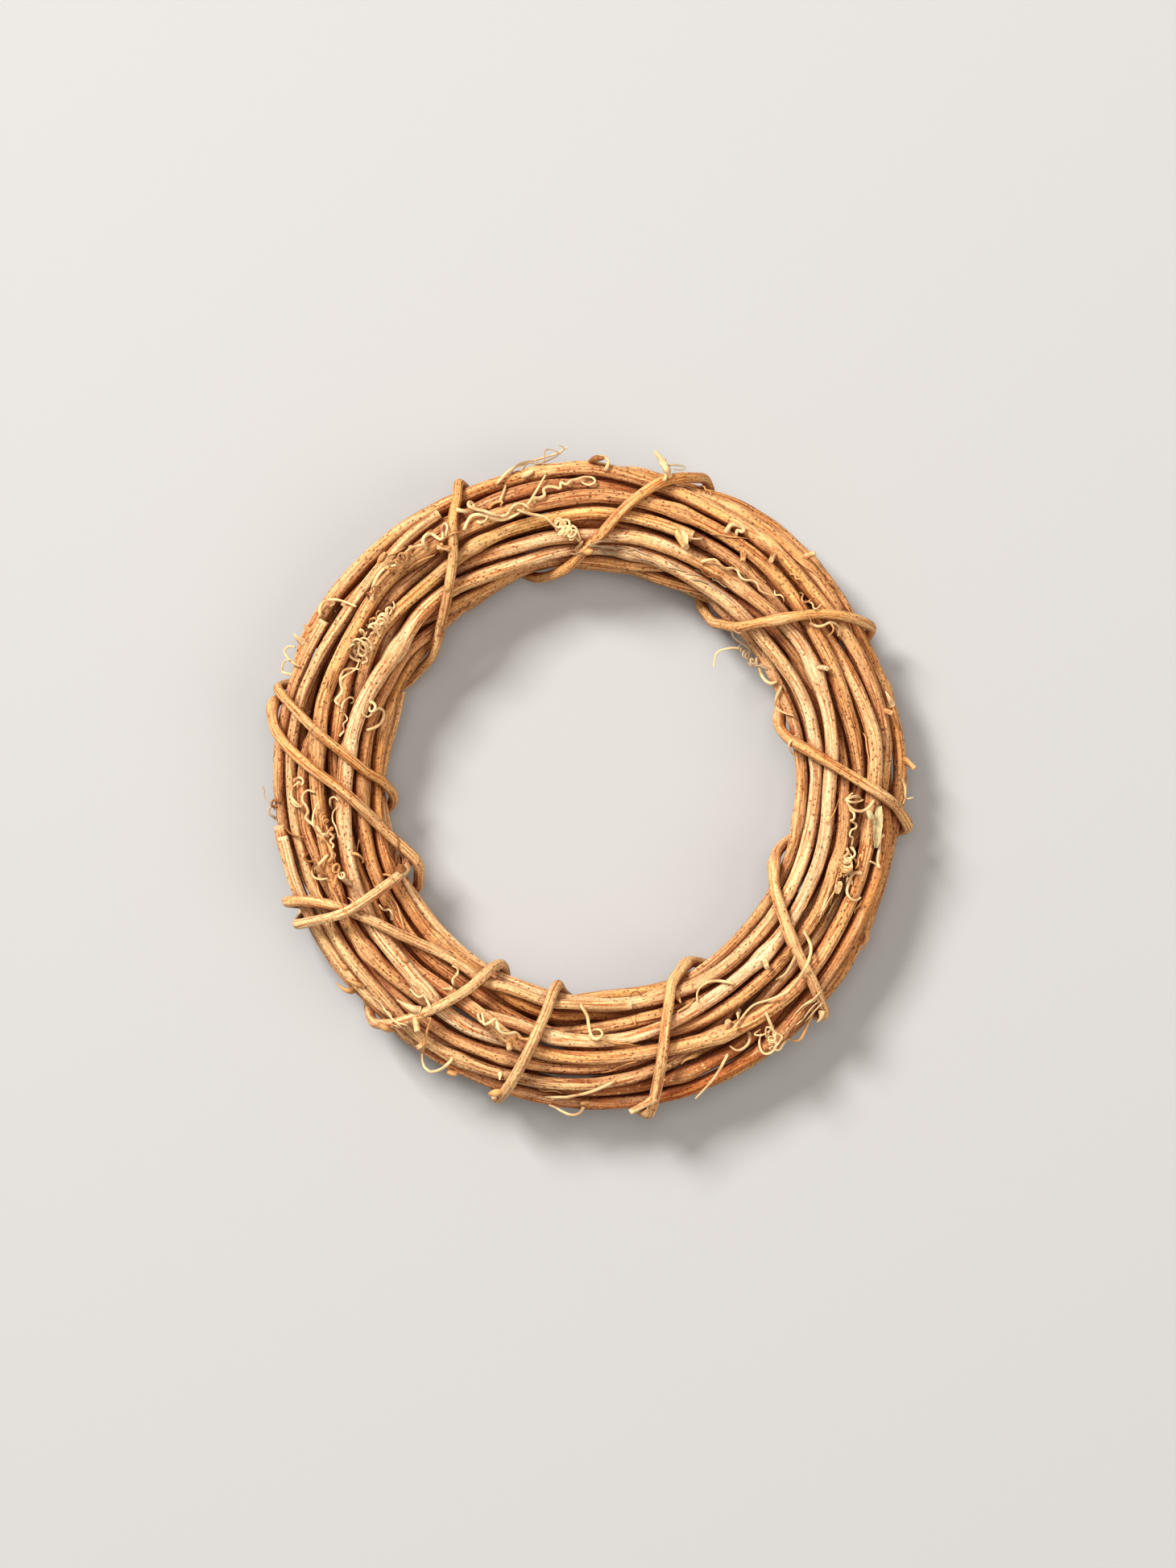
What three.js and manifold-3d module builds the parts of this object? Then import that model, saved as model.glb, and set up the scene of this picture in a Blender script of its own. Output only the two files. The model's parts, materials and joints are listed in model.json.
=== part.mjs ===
// Bare grapevine wreath: dried canes coiled into a ring and bound with vine that spirals round it.
// It lies on its back, front face up. Angles run clockwise from the top of the ring, in degrees.
import * as THREE from "three";
import { mergeVertices } from "three/addons/utils/BufferGeometryUtils.js";
import Module from "manifold-3d";

const wasm = await Module();
wasm.setup();

// Driving dimensions in millimetres and degrees
const BUNDLE_HEIGHT = 25;
const BINDER_DIAMETER = 3.7;
const GAP = 0.32;
const REST_TRIM = 0.4;
const STATION = 9;
const STATIONS = 360 / STATION;
const CANE_SIDES = 6;
const BINDER_STEP = 6.6;

// How far in from the bundle's inner side a binder starts down it, and how low it goes before its back
const INNER_SHOULDER = 4;
const INNER_FOOT = 6;

// The binders' backs lie under the canes, so the canes start this high
const FLOOR_UNDER_CANES = BINDER_DIAMETER + GAP - REST_TRIM;
const MID_HEIGHT = FLOOR_UNDER_CANES + BUNDLE_HEIGHT / 2;

// Inner and outer edge of the bundle by angle
const EDGES = [
  [0, 71.5, 102.2],
  [30, 67.5, 102.4],
  [60, 64.5, 98.2],
  [90, 64, 98],
  [120, 63.6, 97.8],
  [150, 64.2, 101],
  [180, 65, 100.6],
  [210, 63.5, 97.8],
  [240, 62.8, 98.8],
  [270, 63, 99.6],
  [300, 65.5, 102],
  [330, 70, 101.6],
  [360, 71.5, 102.2],
];

// Ring canes. The front list holds [angle, radius] of the run seen on the front; lead and tail are the
// degrees the cane runs on buried in the bundle; lift sets which cane passes over which.
const CANES = [
  {
    name: "cane_rim_top", diameter: 5.2, lift: 0.6, lead: 60, tail: 90, color: "#d2a169",
    front: [[297, 100.6], [307, 99.8], [317, 99.2], [332, 99.2], [348, 99.5], [357, 99], [367, 97.3],
      [382, 95.2], [397, 94], [407, 92.8], [417, 91.8], [427, 92], [437, 93.3], [446, 93.3]],
    nodes: [348, 398, 444],
  },
  {
    name: "cane_rim_right", diameter: 5, lift: -1, lead: 80, tail: 250, color: "#b98450",
    front: [[20, 100.6], [37, 99.6], [52, 97.5], [67, 96.3], [82, 96], [97, 95.3], [117, 95.2],
      [127, 96.3], [142, 98.8], [157, 100.4], [170, 100]],
    nodes: [42, 75, 118],
  },
  {
    name: "cane_shoulder_right", diameter: 4.6, lift: -0.6, lead: 70, tail: 290, color: "#cc9a63",
    front: [[17, 98], [37, 96.8], [47, 95.8], [57, 94.6]],
    nodes: [30],
  },
  {
    name: "cane_rim_lower", diameter: 5.2, lift: 0.6, lead: 210, tail: 0, color: "#dba56b",
    front: [[87, 90.5], [97, 93.8], [107, 93.2], [117, 92.3], [127, 93.3], [137, 94.5], [147, 96.8],
      [157, 98.6], [167, 99.4], [177, 99.2], [187, 98.2], [197, 96.8], [207, 95.8], [217, 95.4],
      [237, 96.6], [247, 97.6], [257, 98.8], [263, 99.8]],
    nodes: [148, 212],
  },
  {
    name: "cane_rust_lower", diameter: 4.9, lift: -0.8, lead: 140, tail: 210, color: "#b8743e",
    front: [[137, 91.4], [147, 93.2], [157, 94.8], [170, 95.6], [190, 94.2], [205, 92.6]],
    nodes: [165],
  },
  {
    name: "cane_straw_left", diameter: 4.8, lift: 0, lead: 210, tail: 0, color: "#cf955a",
    front: [[162, 89.6], [172, 91], [187, 90.8], [207, 90.7], [227, 91], [240, 91.6], [252, 92.6],
      [262, 94], [277, 95.2], [287, 94.8], [302, 93.8], [312, 93.5], [322, 94.5], [331, 95.6]],
    nodes: [204, 262, 310],
  },
  {
    name: "cane_short_left", diameter: 5, lift: 1.8, lead: 280, tail: 0, color: "#eec693",
    front: [[217, 93.6], [225, 94.3], [242, 94.6], [252, 95.1], [261, 96.6]],
    nodes: [236],
  },
  {
    name: "cane_crown_left", diameter: 4.8, lift: 0.4, lead: 160, tail: 190, color: "#d99a60",
    front: [[165, 88], [177, 87.5], [197, 87.8], [212, 88.6], [227, 89.3], [240, 89.2], [257, 89.5],
      [270, 90.8], [282, 89.5]],
    nodes: [197, 250],
  },
  {
    name: "cane_long_crown", diameter: 5.2, lift: 1, lead: 70, tail: 170, color: "#cf9259",
    front: [[203, 86.3], [217, 85.7], [227, 85.8], [237, 86], [247, 85.8], [257, 85.4], [268, 85.5],
      [277, 87.4], [282, 88.5], [292, 88.3], [302, 87.5], [322, 88], [342, 88.8], [352, 89.3],
      [362, 90.8], [372, 91.2], [382, 89.8], [392, 89], [402, 87.3], [417, 84.8], [427, 84],
      [437, 83.3], [447, 83.8]],
    nodes: [237, 283, 321, 382, 428],
  },
  {
    name: "cane_crown_right", diameter: 5.2, lift: 0.2, lead: 60, tail: 200, color: "#deaa70",
    front: [[57, 88], [77, 87.6], [97, 87.8], [117, 89], [132, 90.3], [142, 90], [151, 88], [162, 85.8],
      [172, 85], [182, 84.5], [192, 84]],
    nodes: [97, 151],
  },
  {
    name: "cane_inner_crown", diameter: 5, lift: 1, lead: 60, tail: 150, color: "#efc792",
    front: [[333, 76.6], [342, 77.6], [352, 78.3], [367, 79.2], [377, 78.5], [397, 77.8], [407, 79.5],
      [417, 80.6], [427, 79], [437, 77], [447, 76.3], [457, 75], [467, 74.4], [487, 74.8],
      [507, 75.8], [517, 77.3], [532, 79.2], [542, 81], [552, 82.4]],
    nodes: [421, 494, 549],
  },
  {
    name: "cane_under_right", diameter: 4.8, lift: -1.6, lead: 70, tail: 180, color: "#c98f56",
    front: [[37, 75.5], [60, 77], [77, 79.5], [90, 80.6], [110, 80.2], [130, 80.5], [150, 80.4],
      [162, 81]],
    nodes: [108],
  },
  {
    name: "cane_thick_pale", diameter: 5.4, lift: 1.8, lead: 0, tail: 210, color: "#efcb99",
    front: [[197.6, 83.4], [206, 82.6], [212, 81.6], [222, 80.6], [227, 81], [232, 82.4], [237, 83.6],
      [242, 83.8], [250, 81.4], [257, 79], [262, 77.6], [272, 76.5], [292, 76.4], [312, 76.5], [322, 76],
      [337, 74.4], [352, 74], [362, 75], [372, 74.6], [382, 73], [392, 72.3], [417, 72.2],
      [437, 72], [457, 71.4], [467, 70.5], [477, 69.6], [487, 70.2], [507, 70.4]],
    nodes: [246, 306, 372, 440],
  },
  {
    name: "cane_top_shelf", diameter: 5, lift: 0.2, lead: 310, tail: 0, color: "#e8b57a",
    front: [[312, 81.4], [322, 82.5], [332, 83.3], [342, 84], [352, 84.8], [362, 86], [372, 85.8],
      [378, 85.2], [382, 83.8]],
    nodes: [330],
  },
  {
    name: "cane_top_under", diameter: 4.4, lift: -2, lead: 200, tail: 250, color: "#a9713f",
    front: [[317, 78.8], [337, 79.8], [347, 80.6], [357, 82]],
    nodes: [340],
  },
  {
    name: "cane_inner_right", diameter: 4.6, lift: 0, lead: 230, tail: 140, color: "#dba872",
    front: [[45, 69], [60, 67.4], [82, 65.8], [92, 65.2], [102, 65.2], [122, 66.2], [132, 66.4],
      [142, 66.9], [152, 68]],
    nodes: [95],
  },
  {
    name: "cane_inner_left", diameter: 4.8, lift: 0, lead: 150, tail: 170, color: "#bd8550",
    front: [[188, 73], [200, 72.6], [210, 71.4], [235, 68], [247, 68.8], [257, 67.8], [270, 66.6],
      [287, 68], [297, 69], [310, 70.5]],
    nodes: [222, 290],
  },
  {
    name: "cane_mid_left", diameter: 5, lift: -0.6, lead: 110, tail: 200, color: "#c4864e",
    front: [[185, 78], [200, 77], [215, 75.8], [235, 74], [244, 73], [257, 72.5], [267, 71.8],
      [277, 72], [287, 72.8], [300, 72], [315, 73]],
    nodes: [267],
  },
  {
    name: "cane_rim_left", diameter: 4.8, lift: 1.2, lead: 340, tail: 0, color: "#d8a468",
    front: [[267, 97], [277, 98.3], [287, 99.2], [297, 98.6], [301, 98.2]],
    nodes: [280],
  },
];

// Binding vines. Each crossing is a run over the front as [angle, radius]; between two crossings the
// vine goes back under the ring. A third number is the share of its way down the ring's inner side.
// The run at the end of the left one lies along the inner edge.
const BINDERS = [
  {
    name: "binder_left", diameter: 3.6, color: "#d6a065",
    start: [289, 88],
    crossings: [
      [[285, 102.5], [280, 100], [277, 93.8], [274, 86.3], [270, 77.5], [264, 70], [257, 64.6],
        [251, 60.4, 0.05], [247, 60, 0.2], [242, 61.6, 0.6], [238, 65, 1]],
      [[250, 99.5], [247.5, 91.3], [245, 86.3], [241, 81.3], [237, 77.5], [232, 74.3], [227, 71],
        [222, 68.8], [216, 67.6], [207, 67.4], [197, 67], [187, 66.8], [177, 67.4], [169.5, 68.2]],
    ],
    end: null,
  },
  {
    name: "binder_top", diameter: 3.4, color: "#eab773",
    start: [66, 88],
    crossings: [
      [[60, 99.5], [57, 96], [52, 87.5], [47, 75], [43, 69.6], [40, 67, 0.2], [36, 66.3, 0.6],
        [31, 67.5, 1]],
      [[20, 102.5], [16, 99.5], [12, 96.3], [7, 87.5], [2, 78], [-2, 74.3], [-6, 72, 0.2],
        [-12, 69.6, 0.6], [-18, 70.5, 1]],
      [[-23.5, 101.3], [-27, 93.8], [-29, 86.3], [-32, 80.5], [-35, 76.3], [-40, 72.3],
        [-45, 69.2, 0.15], [-51, 67.2, 0.45], [-57, 66.2, 0.75], [-62, 66.8, 1]],
      [[-72.5, 102.5], [-76, 92.5], [-79, 85], [-83, 75], [-87, 68.8], [-91, 64, 0.25],
        [-96, 63.6, 1]],
    ],
    end: [-103, 84],
  },
  {
    name: "binder_right", diameter: 3.6, color: "#f0bf80",
    start: [57, 80],
    crossings: [
      [[66, 66, 1], [71, 64.8, 0.6], [76, 64.8, 0.2], [79, 67], [83, 72.5], [88, 81.3], [92, 91.3],
        [94.5, 97.5], [97, 97]],
      [[104, 64.5, 1], [109, 62.8, 0.6], [113, 62.4, 0.2], [117, 63], [122, 68.8], [127, 76.3],
        [130, 86.3], [132, 93.8], [134, 99.5]],
      [[148, 65.3, 1], [152, 64.8, 0.45], [155.5, 65.6, 0.1], [159, 68.4], [162, 75], [165, 85],
        [168, 96.3], [169.5, 102]],
      [[187.5, 65.4, 1], [189, 65.4, 0.4], [190.6, 68], [193, 80], [195, 93.8], [196.5, 100]],
      [[205, 64.4, 1], [207, 64.4, 0.4], [209.6, 69], [213, 77.5], [217, 87.5], [219, 92.5],
        [222, 98.3]],
      [[251, 64.6, 1], [248.6, 64, 0.7], [246.6, 65, 0.25], [245, 67.4], [243.5, 75], [243, 85],
        [244, 92.5], [245, 99.5]],
    ],
    end: [253, 86],
  },
];

// Cut side shoots: the piece they grow from, [angle, radius] of root and tip, rise and size
const STUBS = [
  { on: "cane_rim_top", at: [38, 94], to: [38.6, 90.4], rise: 1.2, size: 2.6 },
  { on: "cane_rim_right", at: [84, 93.3], to: [87, 97.6], rise: 1.4, size: 2.8 },
  { on: "cane_shoulder_right", at: [42, 96.4], to: [43.4, 101], rise: 0.8, size: 2.6 },
  { on: "cane_rim_top", at: [75, 96.2], to: [76.4, 99.8], rise: 0.6, size: 2.4 },
  { on: "cane_long_crown", at: [32, 89], to: [33.4, 85], rise: 1.6, size: 2.6 },
  { on: "cane_long_crown", at: [321, 88], to: [323, 91.3], rise: 2, size: 2.4 },
  { on: "cane_inner_crown", at: [61, 80], to: [63, 83.4], rise: 1.8, size: 2.6 },
  { on: "cane_inner_crown", at: [134, 74.8], to: [135.6, 78], rise: 2, size: 2.6 },
  { on: "cane_crown_right", at: [199, 83.2], to: [197.4, 86.4], rise: 1.6, size: 2.6 },
  { on: "cane_crown_right", at: [151, 88], to: [149.4, 84.8], rise: 1.8, size: 3 },
  { on: "cane_top_shelf", at: [18, 85.4], to: [21.5, 80.6], rise: 2, size: 3.8 },
  { on: "cane_thick_pale", at: [246, 82.6], to: [249.6, 84.6], rise: 2.4, size: 2.8 },
  { on: "cane_straw_left", at: [212, 97], to: [213.4, 100.2], rise: 0.8, size: 2.4 },
  { on: "binder_top", at: [-30, 84.6], to: [-32.6, 87.4], rise: 1.8, size: 2.4 },
  { on: "binder_right", at: [168.6, 98], to: [173.4, 101], rise: 0.6, size: 3 },
  { on: "binder_right", at: [217.6, 89], to: [215.4, 92], rise: 1.6, size: 2.8 },
];

// Tendrils: the piece they grow from and their way over the front as [angle, radius], root first.
// Lift is how far the middle stands off what lies under it.
const TENDRILS = [
  { on: "cane_rim_top", size: 1.2, lift: 1.5, way: [[2.4, 98], [3, 101.4], [1.6, 103], [0, 101.6]] },
  { on: "binder_top", size: 1.3, lift: 1, way: [[13.6, 97.6], [13.3, 101], [12.2, 103.2], [10.8, 105.4]] },
  {
    on: "cane_inner_crown", size: 1.1, lift: 1.4,
    way: [[26, 79.6], [28.6, 81.6], [31, 79.4], [33.4, 81.4], [35.8, 79.2], [38.6, 81.8], [40.4, 80],
      [43.2, 81.6]],
  },
  {
    on: "cane_long_crown", size: 1.1, lift: 1.8,
    way: [[53.2, 86.6], [55, 87.4], [55.4, 90.8], [57.4, 91.2], [58.4, 89.6]],
  },
  {
    on: "cane_inner_right", size: 1.1, lift: 0.6,
    way: [[60.6, 67], [60.2, 64.4], [57.4, 63.4], [54.6, 64.2], [51, 64], [47, 63.6], [44.4, 60.6],
      [42.8, 57.6], [45.4, 53.6]],
  },
  {
    on: "cane_inner_right", size: 1, lift: 0.6,
    way: [[61.8, 66.8], [63.6, 64.2], [66.4, 62.6], [68.6, 64], [70.4, 66.6]],
  },
  {
    on: "cane_crown_right", size: 1.2, lift: 2.2,
    way: [[92, 87.2], [93.6, 86], [94.9, 83.4], [94.6, 80.4], [92.6, 78.8], [91.2, 80.8]],
  },
  {
    on: "cane_under_right", size: 1.1, lift: 1.4,
    way: [[123.8, 82.6], [125.6, 85.8], [130, 87.2], [136, 87.4], [140, 85.6], [143.4, 84], [149.4, 86.2]],
  },
  {
    on: "cane_inner_crown", size: 1, lift: 1.6,
    way: [[144, 73.2], [146.4, 70.6], [149.6, 69.4], [152.4, 70.8], [153.6, 73.6]],
  },
  {
    on: "cane_crown_right", size: 1.1, lift: 2.4,
    way: [[142, 90.2], [143.2, 95.6], [144.6, 99.4], [147, 98.8], [147, 95.4], [145.4, 92.6]],
  },
  { on: "cane_rust_lower", size: 1, lift: 1.6, way: [[153, 93.4], [156.6, 97.6], [161.4, 102]] },
  {
    on: "binder_left", size: 1.2, lift: 1.8,
    way: [[183, 69.4], [181, 72], [180.6, 75], [179.4, 77.6], [176.8, 76.6]],
  },
  { on: "cane_straw_left", size: 1.1, lift: 1.4, way: [[176, 88.6], [181, 92.6], [187.6, 96.8]] },
  {
    on: "cane_straw_left", size: 1.1, lift: 1.2,
    way: [[207, 97], [208, 100.8], [209.8, 102.6], [211.4, 100.6], [212.4, 98]],
  },
  {
    on: "cane_crown_right", size: 1.1, lift: 1.6,
    way: [[198.6, 83], [198.4, 80.4], [201, 80.8], [202.8, 78], [205, 80.2], [206.6, 78]],
  },
  {
    on: "cane_long_crown", size: 1.1, lift: 1.8,
    way: [[256, 85.4], [254.4, 88.4], [253, 91.4], [251.4, 89], [251, 86]],
  },
  {
    on: "cane_long_crown", size: 1.2, lift: 2,
    way: [[259.4, 85.2], [261.8, 86], [264, 89.4], [265.4, 87.2], [267.4, 89.6], [269.6, 88.2],
      [269, 85.4]],
  },
  {
    on: "cane_straw_left", size: 1.1, lift: 1.6,
    way: [[267.2, 94.6], [266.2, 92.4], [266, 90.2], [268, 92.8], [270, 92.6], [271.2, 90]],
  },
  {
    on: "cane_mid_left", size: 1.1, lift: 1.6,
    way: [[284.2, 70.6], [285.8, 68.2], [288.2, 67.4], [290.8, 68.8], [290.4, 70.8], [287.4, 72],
      [287.8, 74.4], [291, 74.4]],
  },
  {
    on: "cane_crown_right", size: 1.1, lift: 2,
    way: [[288, 81], [288.8, 83.6], [291, 81.8], [293, 84.4], [295.8, 84.4], [297, 80.6]],
  },
  {
    on: "cane_rim_left", size: 1.1, lift: 0.8,
    way: [[292.4, 99.4], [292.8, 102.8], [293.8, 105.2], [295, 104.4], [295.4, 101.8]],
  },
  {
    on: "cane_rim_top", size: 1.1, lift: 1.2,
    way: [[301.6, 100.6], [303.4, 102.2], [305.4, 100.4], [306.8, 96.6], [307.6, 91.8]],
  },
  {
    on: "cane_long_crown", size: 1.2, lift: 2,
    way: [[311, 87.6], [313.6, 91], [317, 92.4], [319.6, 90.4], [322, 92.6], [325.6, 91]],
  },
  {
    on: "cane_long_crown", size: 1.2, lift: 2,
    way: [[333, 89.6], [335.6, 92.2], [338.2, 90.6], [340.8, 87.2], [344, 87], [347, 89], [349.4, 93],
      [351.6, 97.6]],
  },
  {
    on: "cane_rim_top", size: 1, lift: 1,
    way: [[343, 99.4], [346, 102.4], [350, 103.6], [354, 104.6], [356, 106.4]],
  },
  {
    on: "cane_long_crown", size: 1.2, lift: 2.2,
    way: [[346.6, 88.6], [348.6, 86.2], [351, 84.6], [352, 81.4], [354.8, 79.4], [357.2, 76.2]],
  },
];

// Length between the points of a tendril
const TENDRIL_STEP = 2.3;

const TURN = Math.PI / 180;

// Repeatable draw between -1 and 1 for a numbered item
function draw(item, salt = 0) {
  const s = Math.sin(item * 127.1 + salt * 311.7 + 7.3) * 43758.5453;
  return 2 * (s - Math.floor(s)) - 1;
}

// Value of a [key, value, ...] table at a key, straight between its rows
function lookUp(table, key, column = 1) {
  if (key <= table[0][0]) return table[0][column];
  for (let i = 1; i < table.length; i += 1) {
    const [a, b] = [table[i - 1], table[i]];
    if (key <= b[0]) return a[column] + ((key - a[0]) / (b[0] - a[0])) * (b[column] - a[column]);
  }
  return table.at(-1)[column];
}

const wrapped = (angle) => ((angle % 360) + 360) % 360;
const innerEdge = (angle) => lookUp(EDGES, wrapped(angle), 1);
const outerEdge = (angle) => lookUp(EDGES, wrapped(angle), 2);

function onRing(angle, radius, height) {
  return new THREE.Vector3(radius * Math.sin(angle * TURN), radius * Math.cos(angle * TURN), height);
}

const angleOf = (point) => wrapped(Math.atan2(point.x, point.y) / TURN);

// Height of the front skin of the bundle for a cane centre at this place
function frontHeight(angle, radius) {
  const middle = (innerEdge(angle) + outerEdge(angle)) / 2;
  const reach = (outerEdge(angle) - innerEdge(angle)) / 2 - 2.6;
  const across = THREE.MathUtils.clamp((radius - middle) / reach, -1, 1);
  return MID_HEIGHT + (BUNDLE_HEIGHT / 2 - 2.6) * Math.sqrt(Math.max(0.03, 1 - across * across));
}

// Places for the buried runs, as [share of the half width, height from the middle]
const BURIED = [
  [-0.82, 4.2], [-0.42, 6], [0, 6.4], [0.42, 6], [0.82, 4.2],
  [-0.92, -0.8], [-0.56, 0.6], [-0.18, 1], [0.2, 1], [0.58, 0.6], [0.92, -0.8],
  [-0.76, -5.2], [-0.38, -4.6], [0, -4.4], [0.38, -4.6], [0.76, -5.2],
  [-0.5, -9.6], [-0.12, -9.8], [0.26, -9.8], [0.6, -9.4],
];
const BURIED_STRETCH = 12;
const taken = BURIED.map(() => new Float64Array(STATIONS));

function buriedPlace(slot, angle) {
  const [share, height] = BURIED[slot];
  const middle = (innerEdge(angle) + outerEdge(angle)) / 2;
  const reach = (outerEdge(angle) - innerEdge(angle)) / 2 - 2.6;
  return { radius: middle + share * reach, height: MID_HEIGHT + height };
}

// The emptiest place along these stations, near where the cane comes from
function claimBuried(from, to, radius, height) {
  let best = 0;
  let bestCost = Infinity;
  BURIED.forEach((_, slot) => {
    let crowd = 0;
    for (let s = from; s <= to; s += 1) crowd += taken[slot][((s % STATIONS) + STATIONS) % STATIONS];
    const place = buriedPlace(slot, from * STATION);
    const away = Math.hypot(place.radius - radius, place.height - height);
    const cost = crowd / (to - from + 1) + 0.035 * away;
    if (cost < bestCost) {
      best = slot;
      bestCost = cost;
    }
  });
  for (let s = from; s <= to; s += 1) taken[best][((s % STATIONS) + STATIONS) % STATIONS] += 1;
  return best;
}

// A run of vine: points with their own radius that may slide within the ring's cross-section
class Strand {
  constructor(name, color) {
    this.name = name;
    this.color = color;
    this.points = [];
  }

  add(place, radius, options = {}) {
    const flat = Math.hypot(place.x, place.y);
    this.points.push({
      x: place.x,
      y: place.y,
      z: place.z,
      radius,
      outX: place.x / flat,
      outY: place.y / flat,
      planar: true,
      pull: 0.03,
      floor: FLOOR_UNDER_CANES,
      mobility: 1,
      target: place.clone(),
      ...options,
    });
  }
}

// Lay one cane: the seen run follows its list, the buried runs go to the free places
function layCane(cane, index) {
  const strand = new Strand(cane.name, cane.color);
  const seenFrom = cane.front[0][0];
  const seenTo = cane.front.at(-1)[0];
  const first = Math.floor((seenFrom - cane.lead) / STATION);
  const last = Math.ceil((seenTo + cane.tail) / STATION);
  const places = new Map();
  const seen = (s) => s * STATION >= seenFrom - 1 && s * STATION <= seenTo + 1;

  for (let s = first; s <= last; s += 1) {
    const angle = THREE.MathUtils.clamp(s * STATION, seenFrom, seenTo);
    const radius = lookUp(cane.front, angle);
    places.set(s, { radius, height: frontHeight(angle, radius) + cane.lift, seen: seen(s) });
  }
  const bury = (stations) => {
    let before = { ...places.get(stations.start) };
    for (let k = 0; k < stations.count; k += BURIED_STRETCH) {
      const length = Math.min(BURIED_STRETCH, stations.count - k);
      const a = stations.start + stations.step * (k + 1);
      const b = a + stations.step * (length - 1);
      const slot = claimBuried(Math.min(a, b), Math.max(a, b), before.radius, before.height);
      for (let j = 0; j < length; j += 1) {
        const s = a + stations.step * j;
        const to = buriedPlace(slot, s * STATION);
        const blend = THREE.MathUtils.smoothstep(j + 1, 0, 4);
        places.set(s, {
          radius: THREE.MathUtils.lerp(before.radius, to.radius, blend),
          height: THREE.MathUtils.lerp(before.height, to.height, blend),
          seen: false,
        });
      }
      before = places.get(b);
    }
  };
  const seenStations = [...places.keys()].filter(seen);
  const firstSeen = Math.min(...seenStations);
  const lastSeen = Math.max(...seenStations);
  if (cane.lead > 0) bury({ start: firstSeen, step: -1, count: firstSeen - first });
  if (cane.tail > 0) bury({ start: lastSeen, step: 1, count: last - lastSeen });

  for (let s = first; s <= last; s += 1) {
    const place = places.get(s);
    const along = (s - first) / (last - first);
    const nearNode = cane.nodes.some((node) => Math.abs(s * STATION - node) < STATION / 2);
    const taper = 1.05 - 0.16 * along;
    const radius = (cane.diameter / 2) * taper * (nearNode ? 1.14 : 1 + 0.04 * draw(s, index));
    const wander = place.seen ? 0.15 : 0.5;
    const spot = onRing(
      s * STATION,
      place.radius + wander * draw(s, index + 40),
      place.height + wander * draw(s, index + 80),
    );
    strand.add(spot, radius, { pull: place.seen ? 0.22 : 0.03, mobility: place.seen ? 0.6 : 1 });
  }
  strand.startTrim = cane.lead > 0 ? 0 : seenFrom / STATION - first;
  strand.endTrim = cane.tail > 0 ? 0 : last - seenTo / STATION;
  return strand;
}

function move(point, x, y, z) {
  if (point.planar) {
    const out = x * point.outX + y * point.outY;
    point.x += out * point.outX;
    point.y += out * point.outY;
  } else {
    point.x += x;
    point.y += y;
  }
  point.z += z;
}

// Shares along two segments where they come closest
function closest(p1, q1, p2, q2) {
  const ux = q1.x - p1.x;
  const uy = q1.y - p1.y;
  const uz = q1.z - p1.z;
  const vx = q2.x - p2.x;
  const vy = q2.y - p2.y;
  const vz = q2.z - p2.z;
  const wx = p1.x - p2.x;
  const wy = p1.y - p2.y;
  const wz = p1.z - p2.z;
  const a = ux * ux + uy * uy + uz * uz;
  const b = ux * vx + uy * vy + uz * vz;
  const c = vx * vx + vy * vy + vz * vz;
  const d = ux * wx + uy * wy + uz * wz;
  const e = vx * wx + vy * wy + vz * wz;
  const clamp = (t) => Math.min(1, Math.max(0, t));
  const across = a * c - b * b;
  let s = across > 1e-9 ? clamp((b * e - c * d) / across) : 0.5;
  const t = clamp((b * s + e) / c);
  s = clamp((b * t - d) / a);
  return [s, t];
}

// Segments of all strands, sorted into sectors of the ring
function sectorsOf(strands) {
  const sectors = Array.from({ length: STATIONS }, () => []);
  strands.forEach((strand, owner) => {
    for (let i = 0; i + 1 < strand.points.length; i += 1) {
      const p = strand.points[i];
      const q = strand.points[i + 1];
      const middle = angleOf({ x: p.x + q.x, y: p.y + q.y });
      sectors[Math.floor(middle / STATION) % STATIONS].push({ p, q, owner, i });
    }
  });
  return sectors;
}

function pushApart(one, two) {
  if (one.owner === two.owner && Math.abs(one.i - two.i) < 4) return 0;
  const [s, t] = closest(one.p, one.q, two.p, two.q);
  const x = one.p.x + s * (one.q.x - one.p.x) - two.p.x - t * (two.q.x - two.p.x);
  const y = one.p.y + s * (one.q.y - one.p.y) - two.p.y - t * (two.q.y - two.p.y);
  const z = one.p.z + s * (one.q.z - one.p.z) - two.p.z - t * (two.q.z - two.p.z);
  const far = Math.hypot(x, y, z) || 1e-6;
  const room = one.p.radius + s * (one.q.radius - one.p.radius);
  const needed = room + two.p.radius + t * (two.q.radius - two.p.radius) + GAP;
  if (far >= needed) return 0;
  const shares = [
    [one.p, 1 - s, 1],
    [one.q, s, 1],
    [two.p, 1 - t, -1],
    [two.q, t, -1],
  ];
  const total = shares.reduce((sum, [point, w]) => sum + w * w * point.mobility, 0);
  const shift = (needed - far) / (far * total);
  for (const [point, w, sign] of shares) {
    const amount = sign * w * point.mobility * shift;
    move(point, x * amount, y * amount, z * amount);
  }
  return needed - far;
}

// Draw a cane point that bulges out of the bundle's oval back towards it
function gather(point) {
  const angle = angleOf(point);
  const middle = (innerEdge(angle) + outerEdge(angle)) / 2;
  const reach = (outerEdge(angle) - innerEdge(angle)) / 2 - point.radius;
  const out = Math.hypot(point.x, point.y) - middle;
  const up = point.z - MID_HEIGHT;
  const excess = Math.hypot(out / reach, up / (BUNDLE_HEIGHT / 2)) - 1;
  if (excess <= 0) return;
  const back = -0.35 * Math.min(0.5, excess);
  move(point, back * out * point.outX, back * out * point.outY, back * up);
}

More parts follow.
